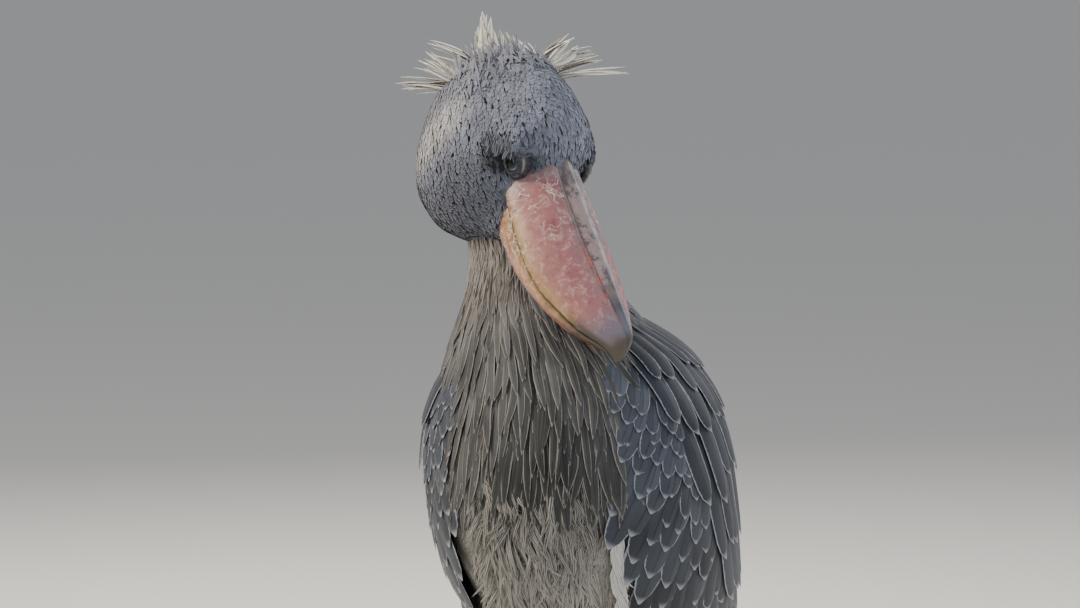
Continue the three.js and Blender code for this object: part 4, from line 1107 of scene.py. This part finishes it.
def bill_material(name, base, nail, lower):
    """Horn sheath: waxy, pink and blotched, with scuffed pale crusts, dark flecks and a worn olive nail."""
    material, tree, shader = start_material(
        name, 0.42, Coat_Weight=0.12, Coat_Roughness=0.3, Subsurface_Weight=0.06,
        Subsurface_Radius=(0.004, 0.0015, 0.001),
    )
    # x runs from the root to the tip, y out from the middle line, z up or down from the mouth line, all as shares.
    horn = add(tree, "ShaderNodeAttribute", attribute_name="horn").outputs["Vector"]
    x, y, z = add(tree, "ShaderNodeSeparateXYZ", {"Vector": horn}).outputs
    place = add(tree, "ShaderNodeTexCoord").outputs["Object"]
    # Blotches of some 29 mm, curls of 19 mm, scuffs of 8 mm and flecks of 7 mm
    big = add(tree, "ShaderNodeTexNoise", {"Vector": place, "Scale": 34.0, "Detail": 5.0, "Distortion": 0.8})
    curl = add(tree, "ShaderNodeTexNoise", {"Vector": place, "Scale": 52.0, "Detail": 3.0, "Distortion": 1.4})
    worn = {"Vector": place, "Scale": 130.0, "Detail": 6.0, "Roughness": 0.68, "Distortion": 0.7}
    flakes = add(tree, "ShaderNodeTexNoise", worn)
    cells = add(tree, "ShaderNodeTexVoronoi", {"Vector": place, "Scale": 150.0})
    if lower:
        stops = [
            (0.0, "#2a211a"), (0.05, "#33291f"), (0.1, "#a5854f"), (0.28, "#bb8c62"), (0.7, base), (1.0, "#8f6c60")
        ]
    else:
        stops = [
            (0.0, "#2a211a"), (0.045, "#3a2d22"), (0.075, "#a88c54"), (0.2, "#b58a68"), (0.36, base),
            (0.7, "#ab6f6f"), (1.0, "#9c8380"),
        ]
    colour = add(tree, "ShaderNodeValToRGB", {"Fac": z}, stops).outputs["Color"]
    rim = add(tree, "ShaderNodeMath", {0: curl, 1: 0.52}, operation="SUBTRACT")
    rim = add(tree, "ShaderNodeMath", {0: rim}, operation="ABSOLUTE")
    fleck = mask(tree, (cells, 0.22, 0.1), (big, 0.5, 0.6))
    layers = [
        ([(big, 0.46, 0.66)], 0.6, "#8a6050" if lower else "#934e5c"),
        ([(flakes, 0.52, 0.62)], 0.42, "#d8c0b2"),
        ([(flakes, 0.46, 0.3)], 0.55, "#6d4b4b"),
        # Flaking edges of old horn: thin pale curls, strongest towards the base
        ([(rim, 0.02, 0.006), (x, 0.5, 0.25), (big, 0.4, 0.5)], 0.8, "#e6dbcc"),
        (fleck, 0.7, "#54403f"),
    ]
    if lower:
        layers.append(([(x, 0.62, 0.84)], 0.85, "#352d24"))
    else:
        ridge, groove = (y, 0.27, 0.2), [(y, 0.2, 0.25), (y, 0.36, 0.29)]
        uneven = add(tree, "ShaderNodeMath", {0: big, 1: 0.5}, operation="MULTIPLY")
        uneven = add(tree, "ShaderNodeMath", {0: flakes, 1: 0.5, 2: uneven}, operation="MULTIPLY_ADD")
        layers += [
            # Painted highlight: the ridge of the culmen is made paler along its middle line.
            ([ridge], 0.75, "#a3928f"),
            ([ridge, (uneven, 0.48, 0.56)], 0.85, "#4b4b52"),
            (groove, 0.8, "#4a3837"),
            ([(y, 0.34, 0.24), (x, 0.62, 0.8)], 0.8, "#3f4249"),
            # Sore line in the groove, then the grey fore end, the grey root and the dark edge of the hook
            ([*groove, (x, 0.4, 0.55), (flakes, 0.42, 0.54)], 1.0, "#c24a2c"),
            ([(x, 0.74, 0.9)], 0.75, "#6c7482"),
            ([(x, 0.12, 0.03)], 0.5, "#8b817e"),
            ([(x, 0.68, 0.86), (z, 0.34, 0.1)], 0.85, "#352d24"),
        ]
    layers.append(([(x, 0.84 if lower else 0.9, 0.965)], 0.92, nail))
    rough = add(tree, "ShaderNodeMath", {0: flakes, 1: 0.35, 2: 0.24}, operation="MULTIPLY_ADD")
    tree.links.new(rough.outputs[0], shader.inputs["Roughness"])
    height = add(tree, "ShaderNodeMath", {0: fleck, 1: -0.5, 2: flakes}, operation="MULTIPLY_ADD")
    surface(tree, shader, paint(tree, colour, *layers), height, 0.5, 0.8)
    return material


def bill_form(section, edge, far, last_x, share_wide, lower):
    """Rings of the bill in the head's frame, with its values for colour: along, across, and up from the mouth line."""
    section = np.array(section, float)
    full = np.concatenate([section, section[-2:0:-1] * [-1, 1]])
    for _ in range(2):
        after = np.roll(full, -1, axis=0)
        full = np.stack([full * 0.78 + after * 0.22, full * 0.22 + after * 0.78], 1).reshape(-1, 2)
    first_x, rows = TOMIUM[0][0], 110
    closer = np.sin(np.linspace(0.0, 1.0, rows) * np.pi / 2)
    x = (first_x + (last_x - first_x) * closer)[:, None]
    low, high, half = along(edge)(x), along(far)(x), along(BILL_HALF)(x) * BILL_WIDTH / 2 * share_wide
    y = full[None, :, 0] * half
    z = low + (high - low) * full[None, :, 1]
    points = np.stack(np.broadcast_arrays(x, y, z), -1)
    horn = np.stack(np.broadcast_arrays(x / BILL_LENGTH, np.abs(full[None, :, 0]), full[None, :, 1]), -1)
    centre = np.stack(np.broadcast_arrays(x, 0 * y, (low + high) / 2), -1)
    out = unit(points - centre)
    rough = ripple(points, 11, 5) * 0.7 + np.maximum(0, ripple(points, 26, 6) - 0.1) * 1.1
    fade = np.clip((BILL_LENGTH - x) / 30, 0.15, 1)
    side = 1.0 if lower else np.abs(full[None, :, 1] - 0.45) < 0.45
    points = points + out * (rough * fade * side * 0.55)[..., None]
    return points, horn


class SHOEBILL_OT_bill(bpy.types.Operator):
    """Makes the upper and lower halves of the bill"""

    bl_idname = "shoebill.bill"
    bl_label = "Bill"

    def execute(self, context):
        look = context.scene.shoebill_bare
        for name, section, far, last_x, wide, lower in (
            ("upper", UPPER_SECTION, CULMEN, BILL_LENGTH - 0.5, 1.0, False),
            ("lower", LOWER_SECTION, KEEL, LOWER_LENGTH, 0.94, True),
        ):
            points, horn = bill_form(section, TOMIUM, far, last_x, wide, lower)
            material = bill_material("Horn sheath, " + name, look.bill, look.nail, lower)
            obj = loft("bill_" + name + "_horn", head_to_body(points), material, {"horn": horn}, sharp=50)
            finish_piece(obj, "bill", "bill_" + name)
        return {"FINISHED"}


def eye_material(iris):
    """Wet eyeball: black pupil, grey teal iris with a paler ring, under a clear glossy coat."""
    material, tree, shader = start_material(
        "Wet eye", 0.3, Coat_Weight=0.35, Coat_Roughness=0.03, IOR=1.38, Specular_IOR_Level=0.2
    )
    gaze = add(tree, "ShaderNodeAttribute", attribute_name="gaze").outputs["Fac"]
    place = add(tree, "ShaderNodeTexCoord").outputs["Object"]
    # Grain of the iris, about 1.1 mm
    grain = add(tree, "ShaderNodeTexNoise", {"Vector": place, "Scale": 900.0, "Detail": 3.0})
    grain = add(tree, "ShaderNodeMath", {0: grain, 1: 0.5}, operation="SUBTRACT")
    ring = add(tree, "ShaderNodeMath", {0: grain, 1: 0.06, 2: gaze}, operation="MULTIPLY_ADD")
    stops = [
        (0.0, "#040405"), (0.27, "#060708"), (0.31, "#1d272d"), (0.46, iris), (0.54, "#87aab8"), (0.59, "#2b363c"),
        (0.66, "#0c0d0e"),
    ]
    surface(tree, shader, add(tree, "ShaderNodeValToRGB", {"Fac": ring}, stops).outputs["Color"])
    return material


def lid_material():
    """Bare skin of the lids: fine folds, soft, dark grey to pale."""
    material, tree, shader = start_material("Lid skin", 0.55)
    place = add(tree, "ShaderNodeTexCoord").outputs["Object"]
    fold = add(tree, "ShaderNodeAttribute", attribute_name="fold").outputs["Fac"]
    # Grain of the skin, about 3 mm
    grain = add(tree, "ShaderNodeTexNoise", {"Vector": place, "Scale": 300.0, "Detail": 4.0})
    stops = [(0.35, "#1b1c1f"), (0.55, "#35373d"), (0.78, "#6c6a69")]
    colour = add(tree, "ShaderNodeValToRGB", {"Fac": grain}, stops).outputs["Color"]
    surface(tree, shader, paint(tree, colour, (fold, 1.0, "#a9a39c")), grain, 0.5, 0.5)
    return material


LID_STEPS = 96
# The lid cut across: distance from the middle of the eye and height over it, out over the rim and back beneath
LID_REACH = [7.9, 8.4, 9.0, 9.7, 10.4, 11.2, 12.0, 12.9, 13.8, 14.8, 15.8, 16.6, 14.5, 12.0, 9.2, 8.1]
LID_HEIGHT = [7.9, 8.6, 8.8, 8.2, 8.2, 6.6, 6.2, 6.5, 6.0, 4.2, 2.8, -0.6, -2.5, 0.8, 4.4, 6.6]
LID_CLEAR = [0.1, 0.5, 0.7, 0.4, 0.5, 0.0]  # how far its inner rings stay off the ball
EYE_SLANT = 0.62  # radians, by which the slit drops towards the bill


class SHOEBILL_OT_eyes(bpy.types.Operator):
    """Makes the eyeballs with their corneas, and the lids round them"""

    bl_idname = "shoebill.eyes"
    bl_label = "Eyes"

    def execute(self, context):
        look = context.scene.shoebill_bare
        ball, lids = eye_material(look.iris), lid_material()
        for side, name in SIDES:
            centre = EYE_PLACE * [1, side, 1]
            axis = unit(np.array([[0.27, side * 0.96, 0.04]]))[0]
            fore = unit(np.array([[1, 0, 0]]) - axis * axis[0])[0]
            down = np.cross(axis, fore) * side
            polar = np.linspace(0.02, np.pi - 0.02, 40)[:, None]
            angle = np.linspace(0, 2 * np.pi, 48, endpoint=False)[None]
            radius = EYE_RADIUS + 0.9 * np.exp(-((polar / 0.6) ** 2))
            across = np.sin(polar) * np.cos(angle)
            drop = np.sin(polar) * np.sin(angle)
            rings = centre + radius[..., None] * (
                np.cos(polar)[..., None] * axis + across[..., None] * fore + drop[..., None] * down
            )
            gaze = np.broadcast_to(polar / 1.25, across.shape)
            obj = loft("eyeball_" + name, head_to_body(rings), ball, {"gaze": gaze[..., None]}, sharp=0)
            finish_piece(obj, "eye", "eye_" + name)
            # Lids: a folded ring of bare skin round the opening, heavier and flatter on the side of the throat
            turn = np.linspace(0, 2 * np.pi, LID_STEPS, endpoint=False)[:, None]
            reach, depth = np.array([LID_REACH]), np.array([LID_HEIGHT])
            loop = len(LID_REACH)
            below = np.maximum(np.sin(turn), 0)
            squash = 0.9 - 0.44 * below**0.5 * np.interp(reach, [8, 16], [1.0, 0.3])
            wide, tall = np.cos(turn) * reach * 1.1, np.sin(turn) * reach * squash
            over_ball = np.sqrt(np.maximum((EYE_RADIUS + 0.95) ** 2 - wide**2 - tall**2, 0.0))
            near = len(LID_CLEAR)
            clear = over_ball + [LID_CLEAR + [0.0] * (loop - near)]
            depth = np.where(np.arange(loop) < near, np.maximum(depth, clear), depth)
            crease = 0.25 * np.sin(turn * 23 + reach * 2.1) * (reach > 8) * (reach < 15)
            along_slit = fore * math.cos(EYE_SLANT) + down * math.sin(EYE_SLANT)
            under_slit = down * math.cos(EYE_SLANT) - fore * math.sin(EYE_SLANT)
            rings = (
                centre
                + wide[..., None] * along_slit
                + tall[..., None] * under_slit
                + (depth + crease + below * 1.8 * np.exp(-((reach - 11) / 3) ** 2))[..., None] * axis
            )
            points = head_to_body(rings.reshape(-1, 3))
            quads = loop_quads(LID_STEPS, loop, LID_STEPS)
            pale = np.exp(-(((reach - 13.1) / 0.9) ** 2)) * ease(-np.sin(turn + 0.6), 0.05, 0.5)
            fold = {"fold": (pale * (np.arange(loop) < 11)).ravel() * 0.8}
            obj = make_mesh("lids_" + name, points, [np.array(quads)], lids, attributes=fold, sharp=0, turn_out=True)
            finish_piece(obj, "leg_skin")
        return {"FINISHED"}


def leg_material(base):
    """Scaly leg skin: dark grey, dry and leathery with paler worn rims."""
    material, tree, shader = start_material("Scaly leg skin", 0.6)
    place = add(tree, "ShaderNodeTexCoord").outputs["Object"]
    # Worn areas of some 17 mm, and scales of 3 mm
    wear = add(tree, "ShaderNodeTexNoise", {"Vector": place, "Scale": 60.0, "Detail": 6.0})
    scale = add(tree, "ShaderNodeTexVoronoi", {"Vector": place, "Scale": 330.0}, feature="DISTANCE_TO_EDGE")
    stops = [(0.3, "#343434"), (0.55, base), (0.75, "#6a6863")]
    colour = add(tree, "ShaderNodeValToRGB", {"Fac": wear}, stops).outputs["Color"]
    surface(tree, shader, paint(tree, colour, ([(scale, 0.12, 0.02)], 1.0, "#262626")), scale, 0.6, 0.6)
    return material


def claw_material():
    """Claw horn: dense, dark and polished by walking, a little browner where it is worn."""
    material, tree, shader = start_material("Claw horn", 0.35)
    place = add(tree, "ShaderNodeTexCoord").outputs["Object"]
    # Growth marks of some 5 mm
    marks = add(tree, "ShaderNodeTexNoise", {"Vector": place, "Scale": 200.0, "Detail": 4.0})
    stops = [(0.3, "#1d1c1b"), (0.7, "#46423c")]
    surface(tree, shader, add(tree, "ShaderNodeValToRGB", {"Fac": marks}, stops).outputs["Color"])
    return material


# Name, direction in degrees, length and thickness of each toe
TOES = [["middle", 6, 150, 1.0], ["inner", -26, 106, 0.94], ["outer", 36, 128, 0.94], ["hind", 166, 66, 0.88]]
TOE_RADIUS = 7.3
# Share of a toe's length, share of its radius
KNUCKLES = [
    [0, 1.2], [0.14, 1.25], [0.26, 0.95], [0.4, 1.1], [0.52, 0.86], [0.66, 1], [0.78, 0.76], [0.9, 0.84], [1, 0.45],
]
TOE_RINGS = 70
GROUND = 0.2  # the soles are cut flat just over the floor


def tube(points, radii, columns, rows):
    """Rings of a round limb along a smooth line through points, with a radius at each share of its length."""
    points = np.array(points, float)
    steps = np.linalg.norm(np.diff(points, axis=0), axis=1)
    at = np.concatenate([[0], np.cumsum(steps)]) / steps.sum()
    t = np.linspace(0, 1, rows)
    centre = np.stack([along(np.stack([at, points[:, k]], 1))(t) for k in range(3)], -1)
    way = unit(np.gradient(centre, axis=0))
    side = np.array([1.0, 0, 0])
    side = np.where(np.abs(way @ side)[:, None] > 0.9, np.array([0, 1.0, 0]), side)
    across = unit(side - way * np.sum(way * side, -1, keepdims=True))
    over = np.cross(way, across)
    a = np.linspace(0, 2 * np.pi, columns, endpoint=False)
    r = along(radii)(t)[:, None]
    rings = centre[:, None] + across[:, None] * (np.cos(a) * r)[..., None] + over[:, None] * (np.sin(a) * r)[..., None]
    return rings, centre, across, over


def scute_tree():
    """Horny plates set on points: a rounded plate lies flat on each point's outward direction."""
    tree = bpy.data.node_groups.new("Leg scutes", "GeometryNodeTree")
    face = tree.interface
    face.new_socket("Geometry", in_out="INPUT", socket_type="NodeSocketGeometry")
    for name, default in (("Plate width", 0.0058), ("Plate height", 0.0012)):
        face.new_socket(name, in_out="INPUT", socket_type="NodeSocketFloat").default_value = default
    face.new_socket("Seed", in_out="INPUT", socket_type="NodeSocketInt").default_value = 4
    face.new_socket("Material", in_out="INPUT", socket_type="NodeSocketMaterial")
    face.new_socket("Geometry", in_out="OUTPUT", socket_type="NodeSocketGeometry")
    source = add(tree, "NodeGroupInput")
    plate = add(tree, "GeometryNodeMeshUVSphere", {"Segments": 8, "Rings": 4, "Radius": 0.5})
    facing = add(tree, "GeometryNodeInputNamedAttribute", {"Name": "facing"}, data_type="FLOAT_VECTOR")
    upright = add(tree, "FunctionNodeAlignEulerToVector", {"Vector": facing.outputs[0]}, axis="Z")
    size = add(tree, "GeometryNodeInputNamedAttribute", {"Name": "size"}, data_type="FLOAT").outputs[0]
    vary = add(tree, "FunctionNodeRandomValue", {2: 0.88, 3: 1.1, "Seed": source.outputs["Seed"]}, data_type="FLOAT")
    varied = {0: source.outputs["Plate width"], 1: vary.outputs[1]}
    wide = add(tree, "ShaderNodeMath", varied, operation="MULTIPLY")
    wide = add(tree, "ShaderNodeMath", {0: wide, 1: size}, operation="MULTIPLY")
    high = add(tree, "ShaderNodeMath", {0: source.outputs["Plate height"], 1: size}, operation="MULTIPLY")
    place = {
        "Points": source.outputs["Geometry"], "Instance": plate.outputs["Mesh"], "Rotation": upright.outputs[0],
        "Scale": add(tree, "ShaderNodeCombineXYZ", {"X": wide, "Y": wide, "Z": high}).outputs[0],
    }
    plates = add(tree, "GeometryNodeInstanceOnPoints", place)
    plates = add(tree, "GeometryNodeRealizeInstances", {0: plates.outputs[0]})
    plates = add(tree, "GeometryNodeSetShadeSmooth", {0: plates.outputs[0]})
    dress = {"Geometry": plates.outputs[0], "Material": source.outputs["Material"]}
    plates = add(tree, "GeometryNodeSetMaterial", dress)
    add(tree, "NodeGroupOutput", {0: plates.outputs[0]})
    return tree


class SHOEBILL_OT_legs(bpy.types.Operator):
    """Makes the scaly shanks and feet, sets their plates, and gives the claws their horn"""

    bl_idname = "shoebill.legs"
    bl_label = "Legs"

    def execute(self, context):
        look = context.scene.shoebill_bare
        material = leg_material(look.leg)
        tree = scute_tree()
        sockets = {item.name: item.identifier for item in tree.interface.items_tree if item.in_out == "INPUT"}
        shank = Sliced(SHANK_STATIONS)
        for side, name in SIDES:
            flip = np.array([side, 1, 1])
            turn = np.linspace(0, 360, 32, endpoint=False)[None]
            rings = shank.point(turn, np.linspace(18, 399, 120)[:, None]) * flip
            obj = loft("leg_shank_" + name, rings, material)
            finish_piece(obj, "leg_skin", "shank_" + name)
            spots, facing, size = [], [], []
            for i, z in enumerate(np.arange(30, 385, 4.4)):
                around = np.radians(np.arange(0, 360, 30) + (i % 2) * 15)
                p = shank.point(np.degrees(around), np.full(len(around), z))
                spots.append(p)
                facing.append(shank.outward(np.degrees(around), np.full(len(around), z)))
                size.append(np.full(len(around), 0.95 if 235 < z < 275 else 0.8))
            foot = []
            for _, degrees, reach, thick in TOES:
                angle = math.radians(degrees)
                way = np.array([math.sin(angle), -math.cos(angle), 0])
                r = TOE_RADIUS * thick
                knuckles = [[share, r * wide] for share, wide in KNUCKLES]
                # Distance from the ankle and height, along the toe
                arch = ((-4, 20), (16, 13), (reach * 0.4, 6.6), (reach * 0.75, 5.6), (reach, 5.0))
                line = [np.array([LEG_SPREAD, FOOT_Y, z]) + way * d for d, z in arch]
                rings, centre, across, over = tube(line, knuckles, 20, TOE_RINGS)
                rings[..., 2] = np.maximum(rings[..., 2], GROUND)
                foot.append(rings)
                for k in range(6, TOE_RINGS - 4, 3):
                    for bend in (-0.75, 0.0, 0.75):
                        out = over[k] * math.cos(bend) * (-1 if over[k][2] < 0 else 1)
                        out = out + across[k] * math.sin(bend)
                        radius = along(knuckles)(k / (TOE_RINGS - 1))
                        spots.append((centre[k] + out * (radius - 0.2))[None])
                        facing.append(out[None])
                        size.append(np.array([0.9 if bend == 0 else 0.75]) * float(radius) / 7.0)
            pieces = [loft("toe", rings * flip, material) for rings in foot]
            a = np.linspace(0.05, np.pi - 0.05, 20)[:, None]
            b = np.linspace(0, 2 * np.pi, 28, endpoint=False)[None]
            pad = np.stack(
                [np.sin(a) * np.cos(b) * 14, np.sin(a) * np.sin(b) * 17, np.cos(a) * 15 + 0 * b], -1
            ) + [LEG_SPREAD, FOOT_Y - 3, 12]
            pad[..., 2] = np.maximum(pad[..., 2], GROUND)
            pieces.append(loft("pad", pad * flip, material))
            target = join(context, pieces)
            target.name = "leg_foot_" + name
            finish_piece(target, "leg_skin", "foot_" + name)
            spots, facing, size = (np.concatenate(v) for v in (spots, facing, size))
            points = bpy.data.meshes.new("scute_points")
            points.from_pydata(((spots * flip + SHIFT) * MM).tolist(), [], [])
            for key, kind, store, values in (
                ("facing", "FLOAT_VECTOR", "vector", facing * flip), ("size", "FLOAT", "value", size),
            ):
                layer = points.attributes.new(key, kind, "POINT")
                layer.data.foreach_set(store, values.astype(np.float32).ravel())
            holder = bpy.data.objects.new("scute_points", points)
            context.scene.collection.objects.link(holder)
            modifier = holder.modifiers.new("Scutes", "NODES")
            modifier.node_group = tree
            modifier[sockets["Plate width"]] = look.scute_size
            modifier[sockets["Seed"]] = look.scute_seed
            modifier[sockets["Material"]] = material
            holder.update_tag()
            finish_piece(plain(context, holder, "leg_scutes_" + name), "leg_skin")
        horn = claw_material()
        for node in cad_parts:
            if node.startswith("claw_"):
                claw = bpy.data.objects[node]
                for slot in claw.material_slots:
                    slot.material = horn
                if not claw.material_slots:
                    claw.data.materials.append(horn)
        return {"FINISHED"}


PHOTO_WIDTH = 1080
FOCAL_PIXELS = 4330
SENSOR = 36
CAMERA_ANGLES = np.radians([20, 6])
VIEW_MIDDLE = np.array([-31.95, -11.63, 849.0])


def aim_at(obj, spot, target):
    """Puts a light or the camera at a spot, looking at the target with its top upwards."""
    obj.location = Vector(spot.tolist())
    obj.rotation_euler = (Vector(target.tolist()) - obj.location).to_track_quat("-Z", "Y").to_euler()


class SHOEBILL_OT_stage(bpy.types.Operator):
    """Sets the floor, the soft lights and the camera"""

    bl_idname = "shoebill.stage"
    bl_label = "Stage"

    def execute(self, context):
        look = context.scene.shoebill_stage
        material, tree, shader = start_material("Matt studio floor", 0.9)
        place = add(tree, "ShaderNodeTexCoord").outputs["Object"]
        # Cloudy patches of some 330 mm
        clouds = add(tree, "ShaderNodeTexNoise", {"Vector": place, "Scale": 3.0, "Detail": 3.0})
        surface(tree, shader, paint(tree, look.floor, (clouds, 0.03, "#b5b2ad")))
        mesh = bpy.data.meshes.new("floor")
        turn = np.linspace(0, 2 * np.pi, 64, endpoint=False)
        corners = np.stack([np.cos(turn) * look.floor_size, np.sin(turn) * look.floor_size, 0 * turn], -1)
        mesh.from_pydata(corners.tolist(), [], [list(range(64))])
        mesh.materials.append(material)
        floor = bpy.data.objects.new("floor", mesh)
        context.scene.collection.objects.link(floor)
        for name, spot, size, power, tone in (
            ("key", (-2.7, -1.9, 3.4), 1.8, 1.0, "#fff4e6"),
            ("fill", (3.0, -2.4, 1.6), 3.0, 0.18, "#e6eeff"),
            ("rim", (-1.6, 2.6, 2.8), 1.8, 0.7, "#fff6ea"),
            ("back", (2.4, 2.4, 2.4), 2.2, 0.35, "#ffffff"),
        ):
            lamp = bpy.data.lights.new(name, "AREA")
            lamp.size = size
            lamp.energy = look.key_power * power
            lamp.color = linear(tone)[:3]
            light = bpy.data.objects.new(name, lamp)
            context.scene.collection.objects.link(light)
            aim_at(light, np.array(spot), np.array([0.0, 0.0, 0.75]))
        world = bpy.data.worlds.new("Studio")
        context.scene.world = world
        world.use_nodes = True
        world.node_tree.nodes["Background"].inputs["Color"].default_value = linear("#dfe3ea")
        world.node_tree.nodes["Background"].inputs["Strength"].default_value = 0.55
        camera = bpy.data.cameras.new("camera")
        camera.lens = FOCAL_PIXELS / PHOTO_WIDTH * SENSOR
        camera.sensor_width = SENSOR
        camera.clip_end = 300
        eye = bpy.data.objects.new("camera", camera)
        context.scene.collection.objects.link(eye)
        azimuth, elevation = CAMERA_ANGLES
        flat = math.cos(elevation)
        way = np.array([math.sin(azimuth) * flat, -math.cos(azimuth) * flat, math.sin(elevation)])
        target = (VIEW_MIDDLE + SHIFT) * MM
        aim_at(eye, target + way * look.camera_distance, target)
        context.scene.camera = eye
        return {"FINISHED"}


class SHOEBILL_PT_panel(bpy.types.Panel):
    """Lists the steps that dress the bird and their settings"""

    bl_idname = "SHOEBILL_PT_panel"
    bl_label = "Shoebill"
    bl_space_type = "VIEW_3D"
    bl_region_type = "UI"
    bl_category = "Shoebill"

    def draw(self, context):
        for step in STEPS:
            self.layout.operator(step.bl_idname)
        for group in (context.scene.shoebill_plumage, context.scene.shoebill_bare, context.scene.shoebill_stage):
            box = self.layout.box()
            for key in group.bl_rna.properties.keys():
                if key not in {"rna_type", "name"}:
                    box.prop(group, key)


STEPS = (
    SHOEBILL_OT_skin, SHOEBILL_OT_body_feathers, SHOEBILL_OT_wings, SHOEBILL_OT_tail, SHOEBILL_OT_head_feathers,
    SHOEBILL_OT_bill, SHOEBILL_OT_eyes, SHOEBILL_OT_legs, SHOEBILL_OT_stage,
)
GROUPS = {"shoebill_plumage": ShoebillPlumage, "shoebill_bare": ShoebillBare, "shoebill_stage": ShoebillStage}


def register():
    for cls in (*GROUPS.values(), *STEPS, SHOEBILL_PT_panel):
        bpy.utils.register_class(cls)
    for key, cls in GROUPS.items():
        setattr(bpy.types.Scene, key, bpy.props.PointerProperty(type=cls))


def unregister():
    for key in GROUPS:
        delattr(bpy.types.Scene, key)
    for cls in reversed((*GROUPS.values(), *STEPS, SHOEBILL_PT_panel)):
        bpy.utils.unregister_class(cls)


def main():
    register()
    for step in STEPS:
        area, action = step.bl_idname.split(".")
        getattr(getattr(bpy.ops, area), action)()


if __name__ == "__main__":
    main()
